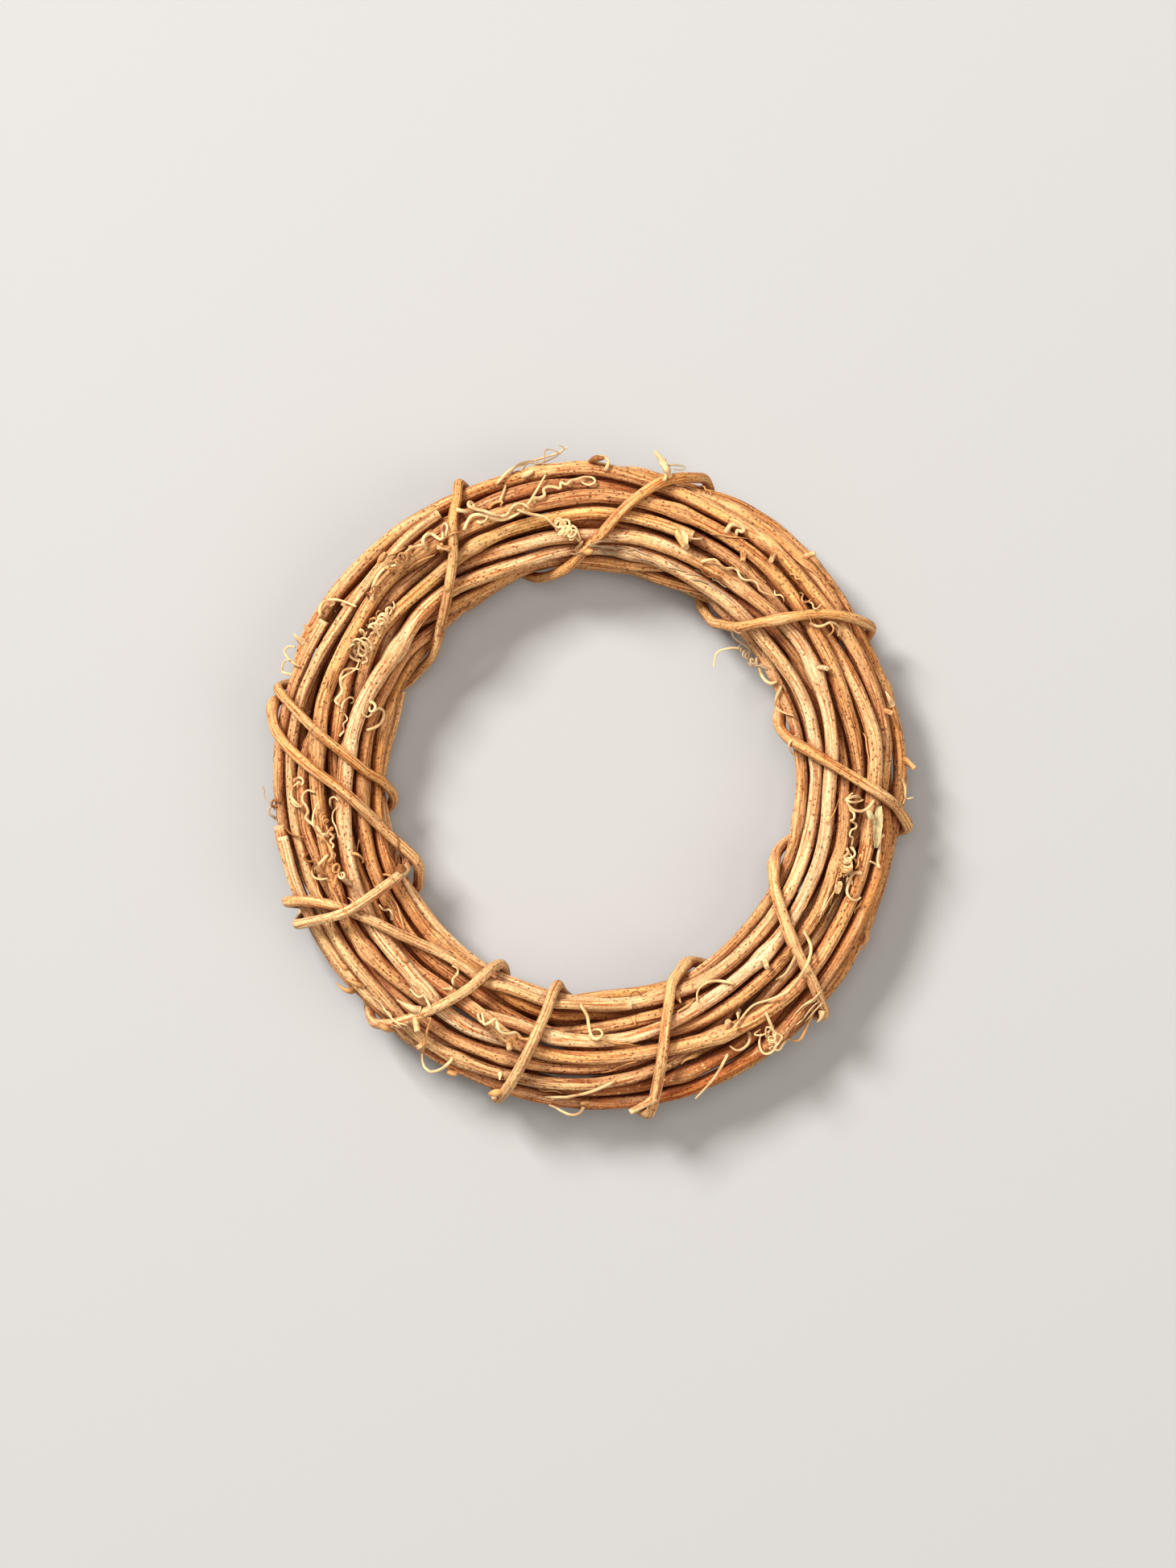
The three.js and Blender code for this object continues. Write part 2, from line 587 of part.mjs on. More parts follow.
// Relax all strands: hold to their places, stay smooth, and keep clear of each other
function relax(strands, rounds, settle) {
  let sectors = sectorsOf(strands);
  let worst = 0;
  for (let round = 0; round < rounds; round += 1) {
    const free = round < rounds - settle;
    if (round % 10 === 0) sectors = sectorsOf(strands);
    for (const strand of strands) {
      const points = strand.points;
      if (free) {
        for (let i = 1; i + 1 < points.length; i += 1) {
          const [a, b, c] = [points[i - 1], points[i], points[i + 1]];
          const ease = b.planar ? 0.12 : 0.04;
          move(b, ease * ((a.x + c.x) / 2 - b.x), ease * ((a.y + c.y) / 2 - b.y), 0);
          b.z += ease * ((a.z + c.z) / 2 - b.z);
        }
        for (const p of points) {
          const { x, y, z } = p.target;
          move(p, p.pull * (x - p.x), p.pull * (y - p.y), p.pull * (z - p.z));
          if (p.planar) gather(p);
        }
      }
      for (const p of points) p.z = Math.max(p.z, p.floor + p.radius);
    }
    worst = 0;
    for (let s = 0; s < STATIONS; s += 1) {
      const here = sectors[s];
      const next = sectors[(s + 1) % STATIONS];
      here.forEach((one, i) => {
        for (let j = i + 1; j < here.length; j += 1) worst = Math.max(worst, pushApart(one, here[j]));
        for (const two of next) worst = Math.max(worst, pushApart(one, two));
      });
    }
    if (!free && worst < 0.01) break;
  }
  return worst;
}

// Outline of the bundle at an angle, grown by a clearance: upper and lower edge as [radius, height]
function skinAt(strands, angle, grown) {
  const dots = [];
  const add = (radius, height, size) => {
    for (let k = 0; k < 16; k += 1) {
      const turn = (k / 16) * 2 * Math.PI;
      dots.push([radius + (size + grown) * Math.cos(turn), height + (size + grown) * Math.sin(turn)]);
    }
  };
  for (const strand of strands) {
    const points = strand.points;
    for (let i = 0; i + 1 < points.length; i += 1) {
      const [p, q] = [points[i], points[i + 1]];
      if (!p.planar) {
        const off = Math.abs(((angleOf(p) - angle + 540) % 360) - 180);
        if (off < 3.4) add(Math.hypot(p.x, p.y), p.z, p.radius);
        continue;
      }
      const from = ((angleOf(p) - angle + 540) % 360) - 180;
      if (from > 0 || from < -STATION) continue;
      const t = -from / STATION;
      const radius = Math.hypot(p.x + t * (q.x - p.x), p.y + t * (q.y - p.y));
      add(radius, p.z + t * (q.z - p.z), p.radius + t * (q.radius - p.radius));
    }
  }
  dots.sort((a, b) => a[0] - b[0] || a[1] - b[1]);
  const turnOf = (o, a, b) => (a[0] - o[0]) * (b[1] - o[1]) - (a[1] - o[1]) * (b[0] - o[0]);
  const chain = (side) => {
    const kept = [];
    for (const dot of dots) {
      while (kept.length > 1 && side * turnOf(kept.at(-2), kept.at(-1), dot) <= 0) kept.pop();
      kept.push(dot);
    }
    return kept;
  };
  return { lower: chain(1), upper: chain(-1) };
}

// Length-wise even points along a polyline
function evenly(points, step) {
  const lengths = [0];
  for (let i = 1; i < points.length; i += 1) {
    lengths.push(lengths[i - 1] + points[i].distanceTo(points[i - 1]));
  }
  const count = Math.max(1, Math.round(lengths.at(-1) / step));
  const result = [];
  let k = 0;
  for (let n = 0; n <= count; n += 1) {
    const at = (n / count) * lengths.at(-1);
    while (k + 2 < lengths.length && lengths[k + 1] < at) k += 1;
    const share = (at - lengths[k]) / (lengths[k + 1] - lengths[k] || 1);
    result.push(points[k].clone().lerp(points[k + 1], THREE.MathUtils.clamp(share, 0, 1)));
  }
  return result;
}

// Edge of the bundle on its inner side at a height
function innerFlank({ upper, lower }, height) {
  const chain = height > upper[0][1] ? upper : lower;
  const towards = Math.sign(height - chain[0][1]);
  const next = chain.findIndex(([, z]) => towards * (z - height) >= 0);
  if (next < 1) return chain[0][0];
  const [a, b] = [chain[next - 1], chain[next]];
  return a[0] + ((height - a[1]) / (b[1] - a[1] || 1)) * (b[0] - a[0]);
}

// Wind one binder round the bundle as it lies
function windBinder(binder, strands) {
  const radius = binder.diameter / 2;
  const grown = radius + GAP;
  const way = [];
  const over = (angle, across, fall) => {
    if (fall > 0) {
      const skin = skinAt(strands.slice(0, CANES.length), angle, grown);
      const shoulder = lookUp(skin.upper, skin.upper[0][0] + INNER_SHOULDER);
      const height = THREE.MathUtils.lerp(shoulder, INNER_FOOT, fall);
      way.push(onRing(angle, Math.min(across, innerFlank(skin, height)), height));
      return;
    }
    const { upper } = skinAt(strands, angle, grown);
    const height = across < upper[0][0] || across > upper.at(-1)[0] ? MID_HEIGHT : lookUp(upper, across);
    way.push(onRing(angle, across, Math.max(height, MID_HEIGHT)));
  };
  const under = (fromAngle, toAngle, from, to) => {
    for (let k = 1; k < 14; k += 1) {
      const t = k / 14;
      const angle = THREE.MathUtils.lerp(fromAngle, toAngle, t);
      const { lower } = skinAt(strands, angle, grown);
      const across = THREE.MathUtils.lerp(from, to, (1 - Math.cos(Math.PI * t)) / 2);
      const bed = THREE.MathUtils.clamp(across, lower[0][0], lower.at(-1)[0]);
      way.push(onRing(angle, bed, lookUp(lower, bed)));
    }
  };
  const crossings = binder.crossings;
  const [startAngle, startAcross] = binder.start;
  under(startAngle, crossings[0][0][0], startAcross, crossings[0][0][1]);
  crossings.forEach((crossing, n) => {
    if (n > 0) {
      const [angle, across] = crossings[n - 1].at(-1);
      under(angle, crossing[0][0], across, crossing[0][1]);
    }
    for (let i = 0; i + 1 < crossing.length; i += 1) {
      const [fromAngle, fromAcross, fromFall = 0] = crossing[i];
      const [toAngle, toAcross, toFall = 0] = crossing[i + 1];
      for (let k = 0; k < 4; k += 1) {
        const t = k / 4;
        over(
          THREE.MathUtils.lerp(fromAngle, toAngle, t),
          THREE.MathUtils.lerp(fromAcross, toAcross, t),
          THREE.MathUtils.lerp(fromFall, toFall, t),
        );
      }
    }
    over(...crossing.at(-1));
  });
  if (binder.end) {
    const [angle, across] = crossings.at(-1).at(-1);
    under(angle, binder.end[0], across, binder.end[1]);
  }
  const strand = new Strand(binder.name, binder.color);
  evenly(way, BINDER_STEP).forEach((point, i, all) => {
    const taper = 1.04 - 0.12 * (i / all.length);
    const size = radius * taper * (1 + 0.05 * draw(i, binder.diameter));
    const back = point.z < FLOOR_UNDER_CANES + 2;
    const target = point.clone();
    if (back) target.z = size - REST_TRIM;
    strand.add(point, size, { planar: false, pull: 0.1, floor: -REST_TRIM, mobility: 0.5, target });
  });
  return strand;
}

// Height at which a round of this size rests over everything at a place
function restingHeight(strands, x, y, size) {
  let top = 0;
  for (const { points } of strands) {
    for (let i = 0; i + 1 < points.length; i += 1) {
      const [p, q] = [points[i], points[i + 1]];
      const ux = q.x - p.x;
      const uy = q.y - p.y;
      const along = ((x - p.x) * ux + (y - p.y) * uy) / (ux * ux + uy * uy || 1);
      const t = THREE.MathUtils.clamp(along, 0, 1);
      const off = Math.hypot(x - p.x - t * ux, y - p.y - t * uy);
      const room = p.radius + t * (q.radius - p.radius) + size + GAP;
      if (off < room) top = Math.max(top, p.z + t * (q.z - p.z) + Math.sqrt(room * room - off * off));
    }
  }
  return top;
}

// The open point of a strand's centre line nearest to a place seen from the front
function rootOn(strand, angle, radius, strands, size) {
  const want = onRing(angle, radius, 0);
  const others = strands.filter((other) => other !== strand);
  const choices = [];
  for (let i = 0; i + 1 < strand.points.length; i += 1) {
    const [p, q] = [strand.points[i], strand.points[i + 1]];
    for (let t = 0; t < 1; t += 0.1) {
      const place = new THREE.Vector3(p.x, p.y, p.z).lerp(q, t);
      const far = Math.hypot(place.x - want.x, place.y - want.y);
      if (far < 20) choices.push({ place, far });
    }
  }
  choices.sort((a, b) => a.far - b.far);
  const open = ({ place }) => restingHeight(others, place.x, place.y, size) < place.z + 2;
  return (choices.find(open) ?? choices[0]).place;
}

// Out of the parent straight up, then over whatever lies under the way
function tendrilPath(tendril, strands) {
  const parent = strands.find((strand) => strand.name === tendril.on);
  const size = tendril.size / 2;
  const root = rootOn(parent, ...tendril.way[0], strands, size);
  const shift = root.clone().sub(onRing(...tendril.way[0], root.z));
  const flat = tendril.way.map(([angle, radius], i) => {
    const fade = Math.max(0, 1 - i / 3);
    return onRing(angle, radius, 0).addScaledVector(shift, fade).setZ(0);
  });
  const curve = new THREE.CatmullRomCurve3(flat, false, "centripetal");
  const count = Math.max(4, Math.round(curve.getLength() / TENDRIL_STEP));
  const points = curve.getSpacedPoints(count);
  const rest = points.map((p) => Math.max(MID_HEIGHT - 1, restingHeight(strands, p.x, p.y, size)));
  const heights = points.map((p, i) => {
    const eased = rest.map((height, j) => height - 0.9 * p.distanceTo(points[j]));
    const share = i / (points.length - 1);
    const wave = tendril.lift * Math.sin(Math.PI * Math.min(1, share * 1.1)) ** 2;
    return Math.max(rest[i], ...eased) + 0.25 + wave;
  });
  points.forEach((p, i) => p.setZ(heights[i]));
  return [root, ...points];
}

// A cut shoot: up out of the parent, then a short way aside
function stubPath(stub, strands) {
  const parent = strands.find((strand) => strand.name === stub.on);
  const size = stub.size / 2;
  const root = rootOn(parent, ...stub.at, strands, size);
  const reach = onRing(...stub.to, 0).sub(onRing(...stub.at, 0));
  const tip = root.clone().add(reach);
  const others = strands.filter((strand) => strand !== parent);
  const rest = Math.max(root.z + size, restingHeight(others, tip.x, tip.y, size * 1.1));
  tip.z = rest + stub.rise;
  const elbow = root.clone().addScaledVector(reach, 0.3);
  const clear = restingHeight(others, elbow.x, elbow.y, size * 1.1);
  elbow.z = Math.max(root.z + size, clear) + 0.2;
  return [root, elbow, tip];
}

// Raise a tendril where it would still come too near another strand
function clearOf(points, size, strands, parent) {
  for (let round = 0; round < 12; round += 1) {
    let worst = 0;
    for (let i = 0; i + 1 < points.length; i += 1) {
      for (const strand of strands) {
        if (i < 1 || (i < 2 && strand === parent)) continue;
        for (let j = 0; j + 1 < strand.points.length; j += 1) {
          const [p, q] = [strand.points[j], strand.points[j + 1]];
          if (Math.hypot(p.x - points[i].x, p.y - points[i].y) > 26) continue;
          const [s, t] = closest(points[i], points[i + 1], p, q);
          const x = points[i].x + s * (points[i + 1].x - points[i].x) - p.x - t * (q.x - p.x);
          const y = points[i].y + s * (points[i + 1].y - points[i].y) - p.y - t * (q.y - p.y);
          const z = points[i].z + s * (points[i + 1].z - points[i].z) - p.z - t * (q.z - p.z);
          const short = p.radius + t * (q.radius - p.radius) + size + GAP - Math.hypot(x, y, z);
          if (short <= 0) continue;
          worst = Math.max(worst, short);
          points[i].z += short * (1 - s) + 0.02;
          points[i + 1].z += short * s + 0.02;
        }
      }
    }
    if (worst < 0.02) break;
  }
}

// Closed round solid along points, with capped ends
function vineSolid(points, radii, sides, roundedEnd = false) {
  const centres = points.map((p) => new THREE.Vector3(p.x, p.y, p.z));
  const sizes = [...radii];
  if (roundedEnd) {
    const tip = centres.at(-1).clone();
    const back = tip.clone().sub(centres.at(-2)).setLength(sizes.at(-1) * 0.8);
    centres.push(tip.clone().add(back));
    sizes.push(sizes.at(-1) * 0.45);
  }
  const positions = [];
  const faces = [];
  let side = null;
  centres.forEach((centre, i) => {
    const before = centres[Math.max(0, i - 1)];
    const after = centres[Math.min(centres.length - 1, i + 1)];
    const ahead = after.clone().sub(before).normalize();
    if (!side) side = new THREE.Vector3(0, 0, 1);
    side.addScaledVector(ahead, -side.dot(ahead));
    if (side.length() < 1e-3) side.set(1, 0, 0).addScaledVector(ahead, -ahead.x);
    side.normalize();
    const other = ahead.clone().cross(side);
    for (let k = 0; k < sides; k += 1) {
      const turn = ((k + 0.5) / sides) * 2 * Math.PI;
      const corner = centre.clone();
      corner.addScaledVector(side, sizes[i] * Math.cos(turn));
      corner.addScaledVector(other, sizes[i] * Math.sin(turn));
      positions.push(corner.x, corner.y, corner.z);
    }
  });
  const lastRing = (centres.length - 1) * sides;
  for (let i = 0; i + 1 < centres.length; i += 1) {
    for (let k = 0; k < sides; k += 1) {
      const a = i * sides + k;
      const b = i * sides + ((k + 1) % sides);
      faces.push(a, b, b + sides, a, b + sides, a + sides);
    }
  }
  for (let k = 1; k + 1 < sides; k += 1) {
    faces.push(0, k + 1, k);
    faces.push(lastRing, lastRing + k, lastRing + k + 1);
  }
  const mesh = new wasm.Mesh({
    numProp: 3,
    vertProperties: new Float32Array(positions),
    triVerts: new Uint32Array(faces),
  });
  return new wasm.Manifold(mesh);
}

// Shorten a strand's end segments to the exact angle of a cut end
function trimEnds(strand) {
  const cut = (end, next, share) => {
    for (const key of ["x", "y", "z", "radius"]) end[key] += share * (next[key] - end[key]);
  };
  const points = strand.points;
  if (strand.startTrim) cut(points[0], points[1], strand.startTrim);
  if (strand.endTrim) cut(points.at(-1), points.at(-2), strand.endTrim);
}

// Lay the canes, wind the binders round them, and let everything settle together
const strands = CANES.map(layCane);
relax(strands, 260, 0);
for (const binder of BINDERS) strands.push(windBinder(binder, strands));
relax(strands, 360, 160);
strands.forEach(trimEnds);

// Stubs and tendrils, each fused to the piece it grows from
const shoots = new Map(strands.map((strand) => [strand.name, []]));
for (const stub of STUBS) {
  const size = stub.size / 2;
  const points = stubPath(stub, strands);
  shoots.get(stub.on).push(vineSolid(points, [size * 1.1, size, size * 0.92], 5));
  strands.push({ on: stub.on, points: points.map((p) => ({ x: p.x, y: p.y, z: p.z, radius: size })) });
}
for (const tendril of TENDRILS) {
  const parent = strands.find((strand) => strand.name === tendril.on);
  const points = tendrilPath(tendril, strands);
  const size = tendril.size / 2;
  clearOf(points, size, strands, parent);
  const radii = points.map((_, i) => size * (i === 0 ? 1.7 : 1.16 - (0.24 * i) / points.length));
  shoots.get(tendril.on).push(vineSolid(points, radii, 4));
  const outline = points.map((p, i) => ({ x: p.x, y: p.y, z: p.z, radius: radii[i] }));
  strands.push({ on: tendril.on, points: outline });
}

// A three.js geometry from a finished solid
function geometryOf(solid) {
  const mesh = solid.getMesh();
  const geometry = new THREE.BufferGeometry();
  const positions = new Float32Array((mesh.vertProperties.length / mesh.numProp) * 3);
  for (let i = 0; i < positions.length / 3; i += 1) {
    for (let k = 0; k < 3; k += 1) positions[i * 3 + k] = mesh.vertProperties[i * mesh.numProp + k];
  }
  geometry.setAttribute("position", new THREE.BufferAttribute(positions, 3));
  geometry.setIndex(new THREE.BufferAttribute(new Uint32Array(mesh.triVerts), 1));
  const merged = mergeVertices(geometry, 1e-4);
  merged.computeVertexNormals();
  return merged;
}

const group = new THREE.Group();
group.name = "grapevine_wreath";
for (const strand of strands.filter(({ color }) => color)) {
  const radii = strand.points.map((p) => p.radius);
  let solid = vineSolid(strand.points, radii, CANE_SIDES, strand.name === "cane_rim_left");
  for (const shoot of shoots.get(strand.name)) solid = solid.add(shoot);
  if (strand.name.startsWith("binder")) solid = solid.trimByPlane([0, 0, 1], 0);
  const color = new THREE.Color(strand.color);
  const material = new THREE.MeshStandardMaterial({ color, roughness: 0.78, metalness: 0 });
  const mesh = new THREE.Mesh(geometryOf(solid), material);
  mesh.name = strand.name;
  group.add(mesh);
}

// Centre the wreath over the origin
const box = new THREE.Box3().setFromObject(group);
for (const mesh of group.children) {
  mesh.geometry.translate(-(box.min.x + box.max.x) / 2, -(box.min.y + box.max.y) / 2, -box.min.z);
}

export default group;
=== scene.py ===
"""Looks of a bare grapevine wreath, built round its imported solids.

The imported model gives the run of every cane, binding vine, cut stub and tendril. Each one is
swept again here with ridged bark, swollen nodes and cut ends, and the small growth that the
solids leave out is added: fine curls, buds, husk scraps and strips of loose bark.
All lengths are metres unless a comment or a docstring says millimetres.
"""

import json
import logging
import math
from dataclasses import dataclass, field
from enum import Enum

import bpy
import numpy as np
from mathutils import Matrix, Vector
from mathutils.bvhtree import BVHTree

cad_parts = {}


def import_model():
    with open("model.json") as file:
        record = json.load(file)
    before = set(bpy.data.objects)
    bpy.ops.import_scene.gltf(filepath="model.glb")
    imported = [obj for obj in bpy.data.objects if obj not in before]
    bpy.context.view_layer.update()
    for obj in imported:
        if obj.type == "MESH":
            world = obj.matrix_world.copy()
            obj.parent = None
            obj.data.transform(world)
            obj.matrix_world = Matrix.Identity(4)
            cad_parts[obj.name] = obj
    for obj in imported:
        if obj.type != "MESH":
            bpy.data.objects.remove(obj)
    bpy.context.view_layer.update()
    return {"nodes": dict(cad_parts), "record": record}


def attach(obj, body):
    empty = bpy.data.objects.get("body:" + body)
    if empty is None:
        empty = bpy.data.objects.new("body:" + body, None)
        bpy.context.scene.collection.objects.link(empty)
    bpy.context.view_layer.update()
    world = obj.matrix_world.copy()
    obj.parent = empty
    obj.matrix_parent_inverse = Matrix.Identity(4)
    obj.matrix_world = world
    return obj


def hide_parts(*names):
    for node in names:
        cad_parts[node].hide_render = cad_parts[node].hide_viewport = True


LOG = logging.getLogger("wreath")
MM = 0.001

# Middle of the ring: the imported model's origin is the middle of its box, just beside it
RING_MIDDLE = np.array([-0.2, -1.661, 0.0]) * MM

Tree = bpy.types.NodeTree
Socket = bpy.types.NodeSocket

# The kinds of node that are used most, and the sockets of a Mix node that mixes colours
MATH = "ShaderNodeMath"
VECTOR_MATH = "ShaderNodeVectorMath"
NOISE = "ShaderNodeTexNoise"
MIX = "ShaderNodeMix"
SHARE, BELOW, ABOVE, MIXED = 0, 6, 7, 2


def linear(colour: str) -> tuple[float, float, float, float]:
    """Turn an sRGB hex colour into the linear colour that the shaders use.

    Args:
        colour: Hex colour such as "#dca66a".

    Returns:
        Linear red, green, blue and a full alpha.
    """
    parts = [int(colour[i : i + 2], 16) / 255 for i in (1, 3, 5)]
    lit = [p / 12.92 if p <= 0.04045 else ((p + 0.055) / 1.055) ** 2.4 for p in parts]
    return (lit[0], lit[1], lit[2], 1.0)


def add(
    tree: Tree, kind: str, inputs: dict | None = None, out: int | str = 0, **settings
) -> Socket | None:
    """Add a node, set its properties and fill or link its sockets.

    Args:
        tree: Node tree of a material or of Geometry Nodes.
        kind: Node type.
        inputs: Socket name or number, with the value or the output socket that feeds it.
        out: Name or number of the output to return.
        **settings: Properties of the node.

    Returns:
        That output, or None for a node that ends its tree.
    """
    node = tree.nodes.new(kind)
    for key, value in settings.items():
        setattr(node, key, value)
    for key, value in (inputs or {}).items():
        if isinstance(value, Socket):
            tree.links.new(value, node.inputs[key])
        else:
            node.inputs[key].default_value = value
    return node.outputs[out] if node.outputs else None


def shown(name: str, data: bpy.types.ID) -> bpy.types.Object:
    """Put data in the scene.

    Args:
        name: Name of the object.
        data: A mesh, light or camera.

    Returns:
        The object that shows it.
    """
    thing = bpy.data.objects.new(name, data)
    bpy.context.scene.collection.objects.link(thing)
    return thing


def corners_of(mesh: bpy.types.Mesh) -> np.ndarray:
    """Read the places of a mesh's corners.

    Args:
        mesh: The mesh.

    Returns:
        One row for each corner.
    """
    flat = np.empty(len(mesh.vertices) * 3)
    mesh.vertices.foreach_get("co", flat)
    return flat.reshape(-1, 3)


def store(mesh: bpy.types.Mesh, name: str, kind: str, values: list[np.ndarray]) -> None:
    """Store values on a mesh's corners.

    Args:
        mesh: The mesh.
        name: Name of the attribute.
        kind: Its type: FLOAT, FLOAT_VECTOR or FLOAT_COLOR.
        values: Runs of values, one for each corner in all.
    """
    key = {"FLOAT": "value", "FLOAT_VECTOR": "vector", "FLOAT_COLOR": "color"}[kind]
    layer = mesh.attributes.new(name, kind, "POINT")
    layer.data.foreach_set(key, np.concatenate(values).astype(np.float32).ravel())


def on_ring(angle: float, radius: float) -> np.ndarray:
    """Place on the ring seen from the front.

    Args:
        angle: Degrees clockwise from the top.
        radius: Millimetres from the middle of the ring.

    Returns:
        The point in metres.
    """
    turn = math.radians(angle)
    return RING_MIDDLE[:2] + np.array([math.sin(turn), math.cos(turn)]) * radius * MM


def travelled(points: np.ndarray) -> np.ndarray:
    """Length from the first point to each point."""
    steps = np.linalg.norm(np.diff(points, axis=0), axis=1)
    return np.concatenate([[0.0], np.cumsum(steps)])


def between(want: np.ndarray, run: np.ndarray, table: np.ndarray) -> np.ndarray:
    """Read a table between its rows.

    Args:
        want: Lengths to read it at.
        run: Length at each row.
        table: The table.

    Returns:
        A row for each length.
    """
    return np.column_stack([np.interp(want, run, column) for column in table.T])


def evened(points: np.ndarray, count: int) -> np.ndarray:
    """Resample a way evenly.

    Args:
        points: Places of the way.
        count: Number of new places.

    Returns:
        The new places, with both ends kept.
    """
    run = travelled(points)
    return between(np.linspace(0.0, run[-1], count), run, points)


def curved(corners: np.ndarray, spacing: float) -> np.ndarray:
    """Draw a smooth way through corners.

    Args:
        corners: Places that the way goes through.
        spacing: Distance between the new places.

    Returns:
        Places on a centripetal Catmull-Rom curve.
    """
    ends = [2 * corners[0] - corners[1], *corners, 2 * corners[-1] - corners[-2]]
    places = []
    for a, b, c, d in zip(ends, ends[1:], ends[2:], ends[3:]):
        gaps = [max(float(np.linalg.norm(q - p)), 1e-9) for p, q in ((a, b), (b, c), (c, d))]
        t1, t2, t3 = np.cumsum([gap**0.5 for gap in gaps])
        count = max(3, int(math.ceil(np.linalg.norm(c - b) / spacing)))
        for t in np.linspace(t1, t2, count, endpoint=False):
            ab = a + (b - a) * t / t1
            bc = b + (c - b) * (t - t1) / (t2 - t1)
            cd = c + (d - c) * (t - t2) / (t3 - t2)
            abc = ab + (bc - ab) * t / t2
            bcd = bc + (cd - bc) * (t - t1) / (t3 - t1)
            places.append(abc + (bcd - abc) * (t - t1) / (t2 - t1))
    way = np.array([*places, corners[-1]])
    return evened(way, max(4, int(travelled(way)[-1] / spacing)))


class Stem(Enum):
    """Kinds of growth, by how they are swept."""

    CANE = 0
    STUB = 1
    TENDRIL = 2


class Slot(Enum):
    """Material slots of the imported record."""

    PALE = "cane_pale"
    TAN = "cane_tan"
    BROWN = "cane_brown"
    RUST = "cane_rust"
    BINDER = "binder_vine"


@dataclass
class Course:
    """The run of one stem, from its root or first end to its tip."""

    points: np.ndarray
    radii: np.ndarray
    stem: Stem

    @property
    def usual(self) -> float:
        """Median radius."""
        return float(np.median(self.radii))

    def gaps(self, place: Vector) -> np.ndarray:
        """Distance of each point from a place."""
        return np.linalg.norm(self.points - np.array(place), axis=1)

    def eased(self, spacing: float, blur: float) -> "Course":
        """Resample evenly and round off the corners, with both ends kept.

        Args:
            spacing: Distance between the new points.
            blur: Length over which the run is evened out.

        Returns:
            A new course.
        """
        run = travelled(self.points)
        count = max(4, int(round(run[-1] / spacing)) + 1)
        want = np.linspace(0.0, run[-1], count)
        even = between(want, run, np.column_stack([self.points, self.radii]))
        gap = want[1] - want[0]
        # The weights fall off like a bell, which ends at three times the blur
        half = min(count - 1, int(math.ceil(3 * blur / gap)))
        weights = np.exp(-0.5 * (np.arange(-half, half + 1) * gap / blur) ** 2)
        weights /= weights.sum()
        before = 2 * even[0] - even[half:0:-1]
        after = 2 * even[-1] - even[-2 : -half - 2 : -1]
        padded = np.vstack([before, even, after])
        even = np.column_stack([np.convolve(column, weights, "valid") for column in padded.T])
        return Course(even[:, :3], np.abs(even[:, 3]), self.stem)


